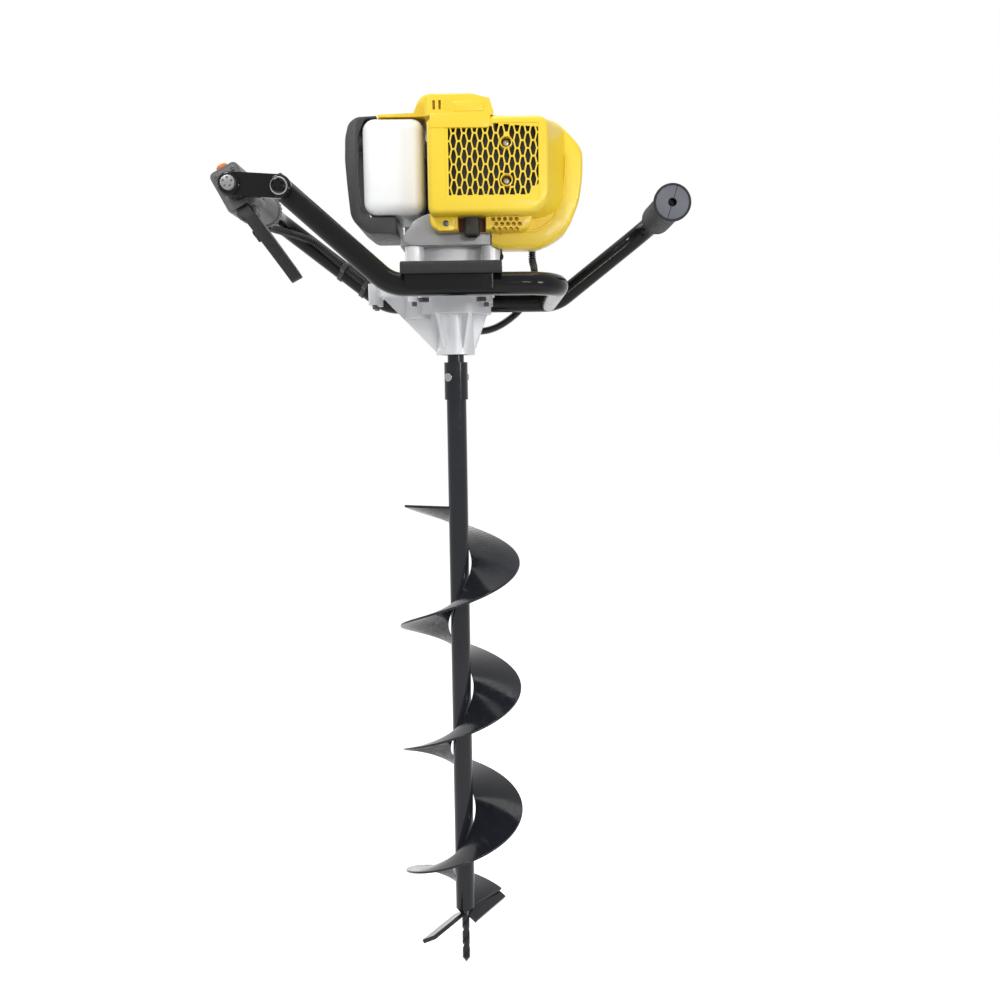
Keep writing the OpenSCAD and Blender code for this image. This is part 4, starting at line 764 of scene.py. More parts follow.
@dataclass
class HandleFrame(Assembly):
    """The bent tubes, brackets, pads, strap and right grip."""

    tube_d: float = 25.0  # outside diameter of the tubes
    bend_r: float = 42.0  # radius of their bends
    rail_y: float = 130.0  # distance of a rail from the bit's axis
    rail_z: float = 848.0  # height of the rails
    arm_slope: float = 38.0  # slope of the rear rail's arms, in degrees
    front_slope: float = 42.0  # slope of the front rail's arm, in degrees
    grip_right_x: float = 257.0  # place of the right grip
    grip_left_x: float = -231.0  # place of the left grip
    corner_right_x: float = 129.5  # where the right arm leaves the rear rail
    corner_left_x: float = -94.5  # where the left arm leaves the rear rail
    corner_front_x: float = -63.8  # where the left arm leaves the front rail
    front_leg_x: float = 119.0  # place of the leg that joins the two rails
    front_end_x: float = -187.0  # left end of the front rail
    grip_len: float = 126.0  # length of the right grip
    grip_free: float = 10.0  # length of its end without a tube inside
    grip_d: float = 38.0  # its diameter
    flange_d: float = 44.0  # diameter of its flange
    pad_len: float = 109.0  # length of a pad
    pad_shift: float = 2.5  # how far the pads sit to the right
    strap_face_y: float = -148.5  # front face of the strap
    strap_end: Pair = (-178.0, 950.95)  # place of the strap's right bolt

    @property
    def grip_right_z(self) -> float:
        """Height of the right grip's axis."""
        return self.rail_z + (self.grip_right_x - self.corner_right_x) * math.tan(math.radians(self.arm_slope))

    @property
    def grip_left_z(self) -> float:
        """Height of the left grip's axis."""
        return self.rail_z + (self.corner_left_x - self.grip_left_x) * math.tan(math.radians(self.arm_slope))

    def build(self) -> None:
        """Builds the frame."""
        self._rails()
        self._right_grip()
        self._pads()
        self._strap_bolts()
        self.shop.soften("frame_brackets", BLACK_PAINT, 1.6, 3)
        self.shop.soften("handle_strap", BLACK_PAINT, 0.9, 3)

    def _rails(self) -> None:
        """Builds the two bent tubes."""
        y, z = self.rail_y, self.rail_z
        rise = math.tan(math.radians(self.front_slope))
        near = self.tube_d / 2 - 1
        front = [(self.front_end_x, -y, z + (self.corner_front_x - self.front_end_x) * rise),
                 (self.corner_front_x, -y, z), (self.front_leg_x, -y, z), (self.front_leg_x, y - near, z)]
        rear = [(self.grip_right_x, y - self.bend_r - self.grip_len + self.grip_free, self.grip_right_z),
                (self.grip_right_x, y, self.grip_right_z), (self.corner_right_x, y, z), (self.corner_left_x, y, z),
                (self.grip_left_x, y, self.grip_left_z), (self.grip_left_x, -y - near, self.grip_left_z)]
        for name, corners in (("front_rail", front), ("rear_rail", rear)):
            path = bent_path(corners, self.bend_r, 16)
            mesh = swept(name, path, [self.tube_d / 2] * len(path), 7)
            self.shop.place(f"{name}_tube", mesh, BLACK_PAINT, replaces=(name,), sharp_deg=50)

    def _right_grip(self) -> None:
        """Builds the smooth rubber grip with its paler end disc."""
        near = self.rail_y - self.bend_r - self.grip_len
        body, flange, hole = self.grip_d / 2, self.flange_d / 2, 5.0
        start = (self.grip_right_x, near, self.grip_right_z)
        end = self.grip_len
        sleeve = [(8, hole), (2.4, hole), (2.4, flange - 2.4), (0.3, flange - 2.4), (0, flange - 2),
                  (0, flange - 1), (0.9, flange), (4.6, flange), (5.2, flange - 0.6), (5.6, body + 1),
                  (7, body + 0.2), (12, body), (end * 0.5, body - 0.5), (end - 10, body), (end - 9, body - 0.7),
                  (end - 8, body), (end - 1.2, body), (end, body - 1.2), (end, self.tube_d / 2)]
        disc = [(2.5, hole), (0.7, hole), (0.3, hole + 0.5), (0.3, flange - 3.4), (0.8, flange - 2.6),
                (2.5, flange - 2.6)]
        self.shop.lathe("right_grip", sleeve, [start], (0, 1, 0), RUBBER, 64, replaces=("grip_right",))
        self.shop.lathe("right_grip_end", disc, [start], (0, 1, 0), GREY_RUBBER, 64)
        seams = bmesh.new()
        for angle in (17, 197):
            seam = block(seams, (-0.4, 0.2, hole + 0.3), (0.4, 1.0, flange - 3.0))
            bmesh.ops.transform(seams, matrix=Matrix.Translation(start) @ spun(angle, "Y"), verts=seam)
        self.shop.add("right_grip_seams", seams, RUBBER)

    def _pads(self) -> None:
        """Builds the rubber bolsters on the two brackets."""
        half = self.pad_len / 2
        outline = [(-153.5, 857.5), (-146.6, 857.5), (-146.6, 866.1), (-72, 866.1), (-72, 871), (-153.5, 871)]
        bm = moulding(outline, (-half, half), lambda co: 3.0 if co.z < 860 else 4.6 if co.x < -150 else 1.6)
        round_edges(bm, edges_at(bm, -half, half), 2.3, 4)
        bmesh.ops.transform(bm, matrix=spun(90, "Z"), verts=bm.verts)
        twin = bmesh.ops.duplicate(bm, geom=[*bm.verts, *bm.edges, *bm.faces])["geom"]
        bmesh.ops.transform(bm, matrix=spun(180, "Z"), verts=[g for g in twin if isinstance(g, Vert)])
        bmesh.ops.translate(bm, vec=(self.pad_shift, 0, 0), verts=bm.verts)
        self.shop.add("rubber_bolsters", bm, RUBBER, replaces=("rubber_pads",))

    def _strap_bolts(self) -> None:
        """Builds the two round flange bolts of the strap, with their nut."""
        face, out = self.strap_face_y, (0, -1, 0)
        washer = [(0, 5), (0, 11.4), (0.8, 11.8), (1.7, 11.4), (2.2, 10.2), (2.2, 5), (0, 5)]
        head = [(-38, 0), (-38, 5), (2.1, 5), (2.1, 7.9), (6.4, 7.8), (7.4, 7.2), (7.8, 6.2), (7.8, 0)]
        rim = [(2.2, 7.9), (2.2, 9.4), (3.2, 9.4), (3.7, 8.9), (3.7, 7.9), (2.2, 7.9)]
        places = ((self.grip_left_x, self.grip_left_z), self.strap_end)
        for i, ((x, z), cap) in enumerate(zip(places, (GREY_ZINC, BLACK_PAINT))):
            start = (x, face, z)
            self.shop.lathe(f"strap_bolt_washer_{i}", washer, [start], out, BLACK_PAINT, 56)
            bolt = self.shop.lathe(f"strap_bolt_{i}", head, [start], out, cap, 56,
                                   replaces=("strap_bolts",) if i == 0 else ())
            angles = [math.tau * k / 5 + 0.3 for k in range(5)]
            dots = [(x + 4.7 * math.cos(a), face - 7.8, z + 4.7 * math.sin(a)) for a in angles]
            self.shop.cut(bolt, drums(dots, (0, 1, 0), 1.3, 3.0, 16))
        x, z = self.strap_end
        self.shop.lathe("strap_bolt_rim", rim, [(x, face, z)], out, ZINC, 56)
        nut = drums([(x, -113.5, z)], (0, 1, 0), 9.0, 8.0, 6)
        round_edges(nut, list(nut.edges), 0.6, 2)
        self.shop.add("strap_bolt_nut", nut, DARK_ZINC)


@dataclass
class ThrottleGrip(Assembly):
    """The left grip with its lever, lock, stop button and cable hose."""

    grip: Triple = (-231.0, 0.0, 954.65)  # place of the grip's axis
    lean_deg: float = -28.0  # how far the grip leans about its axis
    pivot: Triple = (-4.0, -96.0, -24.0)  # place of the lever's pivot on the grip
    droop_deg: float = -33.0  # how far the lever hangs at rest
    lever_w: float = 14.0  # width of the lever
    face_y: float = -114.0  # depth of the housing's front on the grip
    hose_d: float = 10.0  # diameter of the hose over its ribs
    rib_pitch: float = 2.8  # distance from rib to rib
    rib_depth: float = 1.5  # depth between two ribs
    route: tuple[Triple, ...] = (  # points on the way of the hose
        (-229, 30, 937), (-228, 48, 937), (-222, 70, 937), (-211, 91, 936), (-199, 105, 933), (-184, 111, 926),
        (-160, 111, 906), (-134, 111, 884), (-110, 111, 866), (-84, 111, 853), (-56, 111, 843),
        (-26, 113, 830), (2, 118, 817), (27, 126, 811), (53, 136, 818), (80, 147, 838),
        (97, 153, 862), (102, 150, 880), (101, 138, 894), (99, 123, 899), (98, 116, 904), (98, 115, 915),
    )

    def build(self) -> None:
        """Builds the throttle grip and its hose."""
        self.shop.soften("throttle_body", GREY_PLASTIC, 1.6, 3)
        self.shop.soften("grip_left", GREY_PLASTIC, 1.0)
        self._lever()
        self._plate()
        # node, finish, width of the rounding and its steps
        for row in (("lock_lever", BLACK_PLASTIC, 0.9, 3), ("stop_button", ORANGE, 1.8, 4), ("lever_pin", ZINC, 0.4),
                    ("cable_clips", BLACK_PLASTIC, 0.5)):
            self.shop.soften(*row)
        self._hose()

    def _in_grip(self) -> Matrix:
        """Returns the place of the leaning grip."""
        return Matrix.Translation(self.grip) @ spun(self.lean_deg, "Y")

    def _lever(self) -> None:
        """Builds the tapered lever with its finger ribs and rounded tip."""
        half = self.lever_w / 2
        outline = [(-20, -12), (-10, -9), (0, -7), (45, -6.4), (96, -7.2), (116, -9.4), (122.5, -7.5), (122.5, -2),
                   (113, 1), (60, 4.2), (0, 5), (-8, 1), (-16, -4), (-21, -8)]
        bm = moulding(outline, (-half, half), lambda co: 3.0 if co.x > 105 else 2.0 if co.x < -15 else 0.0, 4)
        round_edges(bm, edges_at(bm, -half, half), 2.0, 3)
        for x in (24, 33):
            stud = block(bm, (x, half - 1, -6.0), (x + 7, half + 2.5, 0))
            round_edges(bm, list({e for v in stud for e in v.link_edges}), 1.2, 3)
        turn = Matrix.Translation(self.pivot) @ spun(self.droop_deg, "X") @ spun(90, "Z")
        bmesh.ops.transform(bm, matrix=self._in_grip() @ turn, verts=bm.verts)
        self.shop.add("throttle_lever_moulded", bm, LEVER_PLASTIC, "throttle_lever", ("throttle_lever",))

    def _plate(self) -> None:
        """Builds the stepped face of the throttle housing and its two screws."""
        front = self.face_y - 1.6
        face, screws = bmesh.new(), bmesh.new()
        plate(face, (-17, front, 1), (11, self.face_y + 1, 25), 3.0)
        plate(face, (-17, front, -18), (6, self.face_y + 1, -2), 3.0)
        round_edges(face, edges_at(face, front), 0.7, 2)
        for x in (-13, 7):
            turned(screws, [(0, 0), (0, 2.6), (1, 2.5), (1.6, 1.7), (1.6, 0.9), (0.8, 0.8), (0.8, 0)],
                   (x, self.face_y - 1.5, 21), (0, -1, 0), 24)
        for bm in (face, screws):
            bmesh.ops.transform(bm, matrix=self._in_grip(), verts=bm.verts)
        self.shop.add("throttle_body_face", face, GREY_PLASTIC)
        self.shop.add("throttle_body_screws", screws, DARK_ZINC)

    def _hose(self) -> None:
        """Builds the ribbed hose along its route."""
        wave = (1.0, 0.92, 0.25, 0.0, 0.25, 0.92)
        path = smooth_route(self.route, self.rib_pitch / len(wave))
        radii = [self.hose_d / 2 - self.rib_depth * (1 - wave[i % len(wave)]) for i in range(len(path))]
        mesh = swept("cable_hose_ribbed", path, radii, 2)
        hose = self.shop.place("cable_hose_ribbed", mesh, BLACK_PLASTIC, replaces=("cable_hose",), sharp_deg=30)
        length = sum((b - a).length for a, b in zip(path, path[1:]))


@dataclass
class EngineCovers(Assembly):
    """The yellow covers over the muffler, cylinder and starter."""

    wall: float = 2.5  # wall of a cover
    front_x: Pair = (-24.0, 111.0)  # left and right of the muffler cover's front
    front_z: Pair = (927.0, 1034.0)  # foot and top of that front
    edge_r: float = 7.0  # rounding of the front's edge
    recess_x: Pair = (-4.0, 99.5)  # left and right of the shallow recess in the front
    recess_z: Pair = (943.0, 1025.5)  # foot and top of that recess
    flare: float = 18.0  # how far the right wall flares at the back
    flare_x: float = 70.0  # where the flare starts
    skirt_back: float = 16.0  # how far the skirt lies behind the front
    back_y: float = 44.0  # depth of the cylinder cover's back
    rise: float = 9.0  # how far its lower edge rises to the back
    rise_z: Pair = (-20.0, 40.0)  # where that rise starts, from the crankshaft, and the drop to its full height
    dome_z: Pair = (76.0, 111.0)  # foot and top of the starter cover above the crankshaft
    dome_y: float = 58.0  # half depth of its dome
    nose_y: float = -95.0  # depth of the starter cover's nose
    nose_drop: float = 10.0  # how far the nose lies below the dome
    front_y: float = -98.0  # depth of the muffler cover's front face
    join_y: float = -60.4  # depth where the muffler cover meets the cylinder cover
    screw_x: float = 63.5  # place of the cover's two screws
    screw_z: Pair = (964.0, 1005.0)  # heights of the screws
    cell: Triple = (6.2, 14.9, 2.6)  # width, height and end width of a grille opening
    pitch: Pair = (5.87, 16.7)  # distance between columns and between rows of openings
    grille_x: Pair = (-0.5, 99.0)  # left and right of the grille
    grille_z: Pair = (948.0, 1019.0)  # foot and top of the grille

    def build(self) -> None:
        """Builds the covers."""
        self._muffler_cover()
        self._cylinder_cover()
        self._starter_cover()
        self._pipe()
        self.shop.soften("heat_shield", RED_SHIELD, 0.6)
        # the muffler's warm black carries painted bounce light from the yellow walls
        self.shop.paint(EXHAUST, "muffler")

    def _pipe(self) -> None:
        """Builds the short exhaust pipe that points down."""
        solid = rounded_block((15.2, -83, 904.8), (32.8, -69, 942), 4.6, 5)
        pipe = self.shop.add("exhaust_pipe_bent", solid, EXHAUST, replaces=("exhaust_pipe",))
        self.shop.cut(pipe, drums([(24, -76, 905)], (0, 0, 1), 4.5, 40))

    def _screws(self) -> list[Triple]:
        """Returns the places of the muffler cover's screws."""
        return [(self.screw_x, self.front_y, z) for z in self.screw_z]

    def _cells(self) -> Shape:
        """Draws the long six-sided openings of the grille, cut straight at its border.

        Returns:
            Mesh of the openings.
        """
        bm = bmesh.new()
        (x0, x1), (z0, z1) = self.grille_x, self.grille_z
        dx, dz = self.pitch
        wide, tall, tip = (size / 2 for size in self.cell)
        for column in range(int((x1 - x0) / dx) + 2):
            for row in range(int((z1 - z0) / dz) + 2):
                x, z = x0 + column * dx, z0 + (row + (column % 2) / 2) * dz
                if min(math.hypot(x - self.screw_x, z - s) for s in self.screw_z) < 4.0:
                    continue
                outline_face(bm, [(x - tip, z - tall), (x + tip, z - tall), (x + wide, z), (x + tip, z + tall),
                                  (x - tip, z + tall), (x - wide, z)], self.front_y - 2)
        # a point and the outward normal of each border line, in X and Z
        border = (((x0, z0), (-1, 0)), ((x1, z0), (1, 0)), ((x0, z0), (0, -1)), ((52, z1 + 6), (0.09, 1)),
                  ((x1 - 6, z0 + 6), (0.7, -0.7)))
        for (x, z), (nx, nz) in border:
            bmesh.ops.bisect_plane(bm, geom=list(bm.verts) + list(bm.edges) + list(bm.faces), dist=WELD_MM,
                                   plane_co=(x, 0, z), plane_no=(nx, 0, nz), clear_outer=True)
        slivers = [f for f in bm.faces if f.calc_area() < 6.0]
        bmesh.ops.delete(bm, geom=slivers, context="FACES")
        pull(bm, list(bm.faces), Vector((0, 8, 0)))
        return bm

    def _muffler_cover(self) -> None:
        """Builds the grilled cover over the muffler, its tab, skirt and screws."""
        (x0, x1), (z0, z1) = self.front_x, self.front_z
        bm = moulding([(x0, z0), (x1, z0), (x1, z1), (x0, z1)], (self.front_y, self.join_y),
                      lambda co: 9.0 if co.x < 0 else 26.0 if co.z < 960 else 13.0, 8)
        for vert in bm.verts:
            if vert.co.y > self.join_y - NEAR_MM and vert.co.x > self.flare_x:
                vert.co.x += self.flare * min(1.0, (vert.co.x - self.flare_x) / (x1 - self.flare_x))
        round_edges(bm, edges_at(bm, self.front_y), self.edge_r, 6)
        self._recess(bm)
        back = [f for f in bm.faces if all(abs(v.co.y - self.join_y) < NEAR_MM for v in f.verts)]
        bmesh.ops.delete(bm, geom=back, context="FACES_ONLY")
        cover = self.shop.add("muffler_cover_shell", bm, YELLOW, replaces=("muffler_cover", "cover_screws"))
        self.shop.wall(cover, self.wall)
        self.shop.cut(cover, self._cells())
        self.shop.cut(cover, drums(self._screws(), (0, 1, 0), 5.6, 12))
        face = self.front_y - 0.8
        tab = moulding([(-20, 1020.5), (46.5, 1020.5), (46.5, 1036), (-20, 1036)], (face, face + 5.0),
                       lambda co: 5.0 if co.x > 0 and co.z < 1030 else 0.0)
        round_edges(tab, edges_at(tab, face), 0.7, 3)
        self.shop.add("muffler_cover_tab", tab, YELLOW)
        self._bosses()
        self._skirt()

    def _recess(self, bm: Shape) -> None:
        """Sinks the recess into the muffler cover's front.

        Args:
            bm: Mesh of the cover.
        """
        (x0, x1), (z0, z1) = self.recess_x, self.recess_z
        for place, normal in (((x0, 0, 0), (1, 0, 0)), ((x1, 0, 0), (1, 0, 0)), ((0, 0, z0), (0, 0, 1)),
                              ((0, 0, z1), (0, 0, 1))):
            face = [f for f in bm.faces if f.normal.y < FACING]
            rim = {g for f in face for g in (*f.verts, *f.edges)}
            bmesh.ops.bisect_plane(bm, geom=face + list(rim), dist=WELD_MM, plane_co=place, plane_no=normal)
        middles = [(f, f.calc_center_median()) for f in bm.faces if f.normal.y < FACING]
        inner = [f for f, middle in middles if x0 < middle.x < x1 and z0 < middle.z < z1]
        bmesh.ops.inset_region(bm, faces=inner, thickness=0.7, depth=-0.7)

    def _bosses(self) -> None:
        """Builds the two screw bosses and their screws."""
        rim = [(12, 5.6), (0.3, 5.6), (-0.5, 5.9), (-0.7, 6.4), (-0.4, 6.9), (0.6, 7), (12, 7), (12, 5.6)]
        screw = [(26, 0), (26, 2.5), (9.5, 2.5), (9.5, 4), (8, 4), (6.8, 3.5), (6.3, 2.6), (6.2, 1.2),
                 (7.6, 1), (7.7, 0)]
        self.shop.lathe("cover_screw_bosses", rim, self._screws(), (0, 1, 0), YELLOW, 40)
        self.shop.lathe("cover_screw_heads", screw, self._screws(), (0, 1, 0), ZINC, 32)

    def _skirt(self) -> None:
        """Builds the lower skirt with its vent, pipe bay and shield."""
        front, low, left = self.front_y + self.skirt_back, CRANK_Z - 45, self.front_x[0] + 0.6
        bm = moulding([(left, low), (92, low), (92, 936), (left, 936)], (front, self.join_y),
                      lambda co: 13.0 if co.z < 920 else 0.0)
        round_edges(bm, edges_at(bm, front), 3.0, 3)
        skirt = self.shop.add("muffler_cover_skirt", bm, YELLOW)
        holes = [(48 + 6.6 * i + 3.3 * (row % 2), front, 913.5 + 5.2 * row) for row in range(3) for i in range(5)]
        vents = drums(holes, (0, 1, 0), 2.6, 16, 6)
        block(vents, (8, front - 10, low - 5), (40, self.join_y - 4, 930))
        self.shop.cut(skirt, vents)
        small = bmesh.new()
        plate(small, (-15, front - 0.8, 912), (4, front + 1, 929), 2.5)
        round_edges(small, edges_at(small, front - 0.8), 0.5, 2)
        self.shop.add("skirt_plate", small, YELLOW)
        screw = [(6, 0), (6, 2), (-0.6, 2), (-0.6, 3.4), (-1.6, 3.2), (-2.2, 2.2), (-2.2, 1.2), (-1.2, 1),
                 (-1.2, 0)]
        self.shop.lathe("skirt_screw", screw, [(-5, front, 920)], (0, 1, 0), DARK_ZINC, 32)
        shield = rounded_block((9, -67, 912), (39, -65, 938), 0.7, 2)
        self.shop.add("heat_shield_leaf", shield, RED_SHIELD)

    def _cylinder_cover(self) -> None:
        """Builds the rounded cover over the cylinder with its parting ridge."""
        cz, depth = CRANK_Z, (self.join_y, self.back_y)
        outline = [(51, 87), (118, 81), (134, 67), (151, 48), (151, 19), (147, -10), (134, -42), (112, -59),
                   (99, -63), (56, -63), (46, -60), (46, -40), (51, -30)]
        bm = moulding([(x, z + cz) for x, z in outline], depth, lambda co: 9.0 if co.x > 110 else 0.0, 4)
        level, drop = cz + self.rise_z[0], self.rise_z[1]
        for vert in bm.verts:
            if vert.co.y > 0 and vert.co.z < level:
                vert.co.z += self.rise * min(1.0, (level - vert.co.z) / drop)
        ends = edges_at(bm, *depth)
        round_edges(bm, [e for e in ends if max(v.co.x for v in e.verts) > 53], 5.0, 4)
        front = max((f for f in bm.faces if f.normal.y < -0.99), key=lambda f: f.calc_area())
        # the flat rim, then the ridge: up, along and down
        for thickness, height in ((13.0, 0.0), (0.8, 1.2), (1.8, 0.0), (0.8, -1.2)):
            bmesh.ops.inset_region(bm, faces=[front], thickness=thickness, depth=height)
        left = [f for f in bm.faces if f.normal.x < -0.9]
        bmesh.ops.delete(bm, geom=left, context="FACES_ONLY")
        cover = self.shop.add("cylinder_cover_shell", bm, YELLOW, replaces=("cylinder_cover",))
        self.shop.wall(cover, self.wall)
        ports = drums([(78, y, cz) for y in depth], (0, 1, 0), 15.5, 14, 40)
        block(ports, (40, self.join_y + self.wall + 0.4, cz - 70), (58, 70, cz - 47))
        self.shop.cut(cover, ports)

    def _starter_cover(self) -> None:
        """Builds the domed starter cover with its front, slots and bare panel."""
        (foot, top), half, nose = (CRANK_Z + z for z in self.dome_z), self.dome_y, self.nose_y
        dome = [(-41, foot + 14), (-34.5, top - 5), (-26, top), (28, top), (46, top - 7), (50, foot + 15)]
        base = [(50, foot + 1.6), (-27, foot + 1.6), (-27, foot + 10), (-82, foot + 10), (-82, foot + 12.5)]
        bm = moulding(dome + base, (-half, half), lambda co: 6.0 if co.z > foot + 20 else 0.0, 4)
        ends = edges_at(bm, -half, half)
        round_edges(bm, [e for e in ends if max(v.co.z for v in e.verts) > foot + 14.5], 5.0, 4)
        cover = self.shop.add("starter_cover_shell", bm, YELLOW, replaces=("starter_cover",))
        self.shop.cut(cover, drums([(26, half, foot + 21)], (0, 1, 0), 3, 40, 24))
        top -= self.nose_drop
        outline = [(-26, foot + 1.6), (49.5, foot + 1.6), (49.5, foot + 6), (45.5, top - 5), (27, top - 0.6),
                   (-20, top - 0.6), (-26, top - 5)]
        bm = moulding(outline, (nose, 8 - half), lambda co: 4.0 if co.z > foot + 20 else 0.0, 4)
        round_edges(bm, [e for e in edges_at(bm, nose) if max(v.co.x for v in e.verts) < -25.9], 7.0, 1)
        round_edges(bm, [e for e in edges_at(bm, nose) if min(v.co.z for v in e.verts) > foot + 10], 3.5, 4)
        face = self.shop.add("starter_cover_front", bm, YELLOW)
        slots = bmesh.new()
        for i in range(2):
            block(slots, (-17 + 6.5 * i, nose - 2, top - 17), (-14.2 + 6.5 * i, nose + 8, top - 7))
        self.shop.cut(face, slots)
        panel = bmesh.new()
        plate(panel, (6, nose - 0.7, top - 19), (39, nose + 1, top - 8), 2.0)
        round_edges(panel, edges_at(panel, nose - 0.7), 0.4, 2)
        for i in range(3):
            block(panel, (-4.5 + 3.2 * i, nose - 0.6, top - 17), (-3.1 + 3.2 * i, nose + 1, top - 8))
        self.shop.add("starter_cover_panel", panel, YELLOW)


@dataclass
class FuelSystem(Assembly):
    """The tank, its guard and cap, and the intake parts at the back."""

    tank_low: Triple = (-100.0, -64.0, 935.0)  # lowest corner of the tank
    tank_high: Triple = (-30.0, 60.0, 1042.0)  # highest corner of the tank
    corner_r: float = 14.0  # rounding of its edges
    recess_r: float = 42.0  # radius of the hollow that clears the crankcase
    guard_y: Pair = (-52.0, 50.0)  # front and back of the guard
    line_r: float = 2.5  # radius of the fuel line
    rope_points: int = 49  # points along the starter rope

    def build(self) -> None:
        """Builds the tank and dresses the rest."""
        self._tank()
        self._guard()
        self._intake()
        for node, width, segments in (("fuel_cap", 1.0, 2), ("air_filter_case", 0.9, 3), ("choke_lever", 0.8, 2),
                                      ("starter_handle", 2.4, 4)):
            self.shop.soften(node, BLACK_PLASTIC, width, segments)

    def _tank(self) -> None:
        """Builds the tank with its rounded edges and filler neck."""
        solid = rounded_block(self.tank_low, self.tank_high, self.corner_r, 6)
        tank = self.shop.add("fuel_tank_blown", solid, MILKY, replaces=("fuel_tank",))
        self.shop.cut(tank, drums([(0, 0, 990)], (0, 0, 1), self.recess_r, 200, 96))
        neck = [(-4, 11), (12, 11), (12, 14), (-4, 14)]
        self.shop.lathe("fuel_tank_neck", neck, [(-65, 60, 1012)], (0, 1, 0), MILKY, 40)

    def _guard(self) -> None:
        """Builds the smooth black guard round the tank."""
        outline = [(-84, 89), (-107, 88), (-116, 81), (-120, 66), (-121, 40), (-119, 10), (-116, -22), (-111, -31),
                   (-96, -43), (-64, -43), (-64, -24), (-98, -24), (-104, -19), (-108, 30), (-105, 68), (-97, 86),
                   (-84, 86)]
        bm = moulding([(x, z + CRANK_Z) for x, z in outline], self.guard_y, lambda co: 4.0 if co.x < -95 else 0.0, 4)
        round_edges(bm, edges_at(bm, *self.guard_y), 1.4, 3)
        guard = self.shop.add("tank_guard_moulded", bm, BLACK_PLASTIC, replaces=("tank_guard",))
        window = bmesh.new()
        block(window, (-130, -42, 943), (-90, 40, 1027))
        round_edges(window, edges_along(window.edges, 0), 8.0, 5)
        self.shop.cut(guard, window)

    def _intake(self) -> None:
        """Builds the fuel line, the primer bulb and the starter rope."""
        path = bent_path([(-30, 46, 953), (0, 46, 953), (22, 62, 953), (60, 62, 953)], 14.0)
        ends = self.line_r + 0.3
        mesh = swept("fuel_line_tube", path, [ends, ends, *[self.line_r] * (len(path) - 4), ends, ends], 4)
        self.shop.place("fuel_line_tube", mesh, AMBER, replaces=("fuel_line",), sharp_deg=60)
        bulb = [(-5.2, 0), (-5.2, 4.6), (0.2, 4.6), (0.25, 8.6), (0.5, 9), (0.9, 9), (1.2, 8.5), (1.7, 8.6),
                (3.2, 8.2), (5.2, 7), (7.2, 5), (8.4, 2.8), (8.9, 1), (9, 0)]
        self.shop.lathe("primer_bulb_dome", bulb, [(78, 66, 933)], (0, 0, -1), AMBER, 40, "primer_bulb",
                        ("primer_bulb",))
        steps = range(self.rope_points)
        points = [Vector((26, 48 + 23.5 * i / (self.rope_points - 1), 1054)) for i in steps]
        mesh = swept("starter_rope_braid", points, [1.95 + 0.12 * (i % 2) for i in steps], 3)
        rope = self.shop.new_object("starter_rope_braid", mesh, ROPE)
        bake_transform(rope)
        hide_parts("starter_rope")
        LOG.info("%s: %d faces between %s and starter_handle", rope.name, len(mesh.polygons), FRAME_BODY)


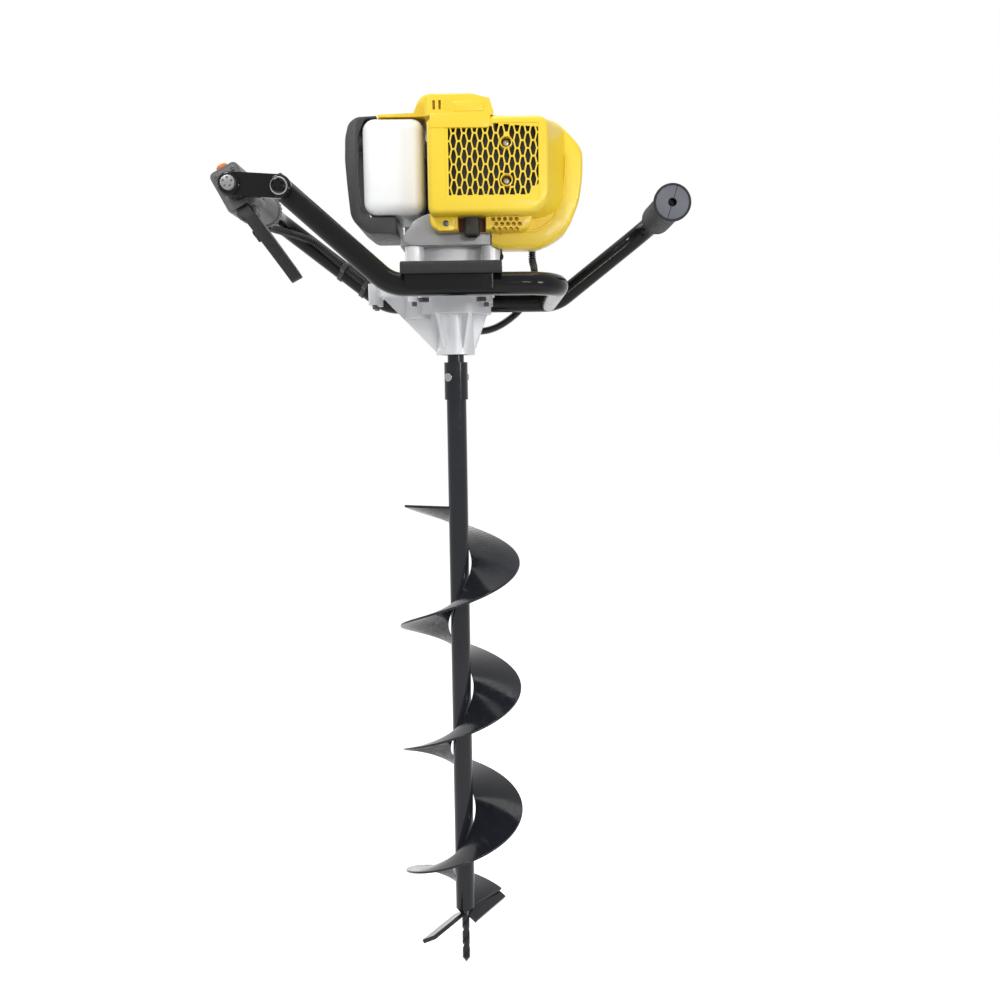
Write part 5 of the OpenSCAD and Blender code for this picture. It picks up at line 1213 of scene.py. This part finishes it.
@dataclass
class Studio:
    """White studio with a camera at the photograph's place."""

    eye: Triple = (51.4, -1300.0, 732.8)  # place of the camera in millimetres
    pitch: float = 5.92  # how far it looks down, in degrees
    roll: float = -0.79  # how far it is rolled, in degrees
    focal_px: float = 1060.0  # focal length in pixels of a 1000 pixel frame
    aim: Triple = (0.0, 0.0, 700.0)  # what the lamps point at, in millimetres

    def build(self) -> None:
        """Builds the camera, the lights, the floor and the world."""
        self._camera()
        # name, place, width, power and, for a flat lamp, height
        for row in (("key", (-900, -1500, 2300), 430, 24.0), ("fill", (1450, -1350, 1000), 380, 9.0),
                    ("strip", (430, -1360, 1010), 420, 3.0, 100), ("rim_left", (-1500, 900, 1500), 900, 9.0),
                    ("top", (0, 200, 2700), 1500, 14.0)):
            self._lamp(*row)
        self._floor()
        self._world()
        bpy.context.scene.view_settings.view_transform = "Standard"

    def _camera(self) -> None:
        """Builds the camera."""
        data = bpy.data.cameras.new("photo_camera")
        data.sensor_fit = "HORIZONTAL"
        data.sensor_width = SENSOR_MM
        data.lens = SENSOR_MM * self.focal_px / FRAME_PX
        data.clip_start = 0.01
        camera = bpy.data.objects.new("photo_camera", data)
        turn = spun(90 - self.pitch, "X") @ spun(self.roll, "Z")
        camera.matrix_world = Matrix.Translation(Vector(self.eye) * MM) @ turn
        bpy.context.scene.collection.objects.link(camera)
        bpy.context.scene.camera = camera

    def _lamp(self, name: str, place: Place, size: float, power: float, height: float = 0.0) -> None:
        """Builds a soft lamp aimed at the engine.

        Args:
            name: Name of the lamp.
            place: Where it stands, in millimetres.
            size: Its width in millimetres.
            power: Its power in watts.
            height: Its height in millimetres, or 0 for a square lamp.
        """
        data = bpy.data.lights.new(name, "AREA")
        data.shape = "RECTANGLE"
        data.size = size * MM
        data.size_y = (height or size) * MM
        data.energy = power
        lamp = bpy.data.objects.new(name, data)
        turn = (Vector(self.aim) - Vector(place)).to_track_quat("-Z", "Y").to_matrix().to_4x4()
        lamp.matrix_world = Matrix.Translation(Vector(place) * MM) @ turn
        bpy.context.scene.collection.objects.link(lamp)

    @staticmethod
    def _seen(nodes: Nodes) -> Socket:
        """Tells rays that show the background, straight or mirrored, from the others.

        Args:
            nodes: Nodes to add to.

        Returns:
            1 for such rays, else 0.
        """
        path = nodes.new("ShaderNodeLightPath").outputs
        seen = path["Is Camera Ray"]
        for kind in ("Is Glossy Ray", "Is Transmission Ray"):
            either = fill(nodes.new("ShaderNodeMath"), {0: seen, 1: path[kind]})
            either.operation = "MAXIMUM"
            seen = either.outputs[0]
        return seen

    def _floor(self) -> None:
        """Builds the pale floor, which keeps the object's shadow."""
        bm = bmesh.new()
        bmesh.ops.create_grid(bm, x_segments=1, y_segments=1, size=6.0)
        mesh = bpy.data.meshes.new("floor")
        bm.to_mesh(mesh)
        bm.free()
        material = bpy.data.materials.new("pale floor")
        material.use_nodes = True
        nodes = material.node_tree.nodes
        glow = fill(nodes.new("ShaderNodeMath"), {0: self._seen(nodes), 1: 0.7})
        glow.operation = "MULTIPLY"
        fill(nodes["Principled BSDF"], {
            "Base Color": (0.8, 0.8, 0.8, 1), "Roughness": 0.9, "Specular IOR Level": 0.1,
            "Emission Color": (1, 1, 1, 1), "Emission Strength": glow.outputs[0]})
        mesh.materials.append(material)
        floor = bpy.data.objects.new("floor", mesh)
        bpy.context.scene.collection.objects.link(floor)

    def _world(self) -> None:
        """Builds the world: white where it shows, soft where it lights."""
        world = bpy.data.worlds.new("studio")
        world.use_nodes = True
        nodes = world.node_tree.nodes
        level = fill(nodes.new("ShaderNodeMapRange"), {"Value": self._seen(nodes), "To Min": 0.38, "To Max": 1.0})
        fill(nodes["Background"], {"Color": (1, 1, 1, 1), "Strength": level.outputs["Result"]})
        bpy.context.scene.world = world


def main() -> None:
    """Builds the auger on its frame and the studio round it."""
    logging.basicConfig(level=logging.INFO, format="%(name)s %(message)s")
    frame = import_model()
    Studio().build()
    shop = Workshop(frame)
    for assembly in (DiggingBit, GearCase, HandleFrame, ThrottleGrip, EngineCovers, FuelSystem):
        assembly(shop).build()


if __name__ == "__main__":
    main()
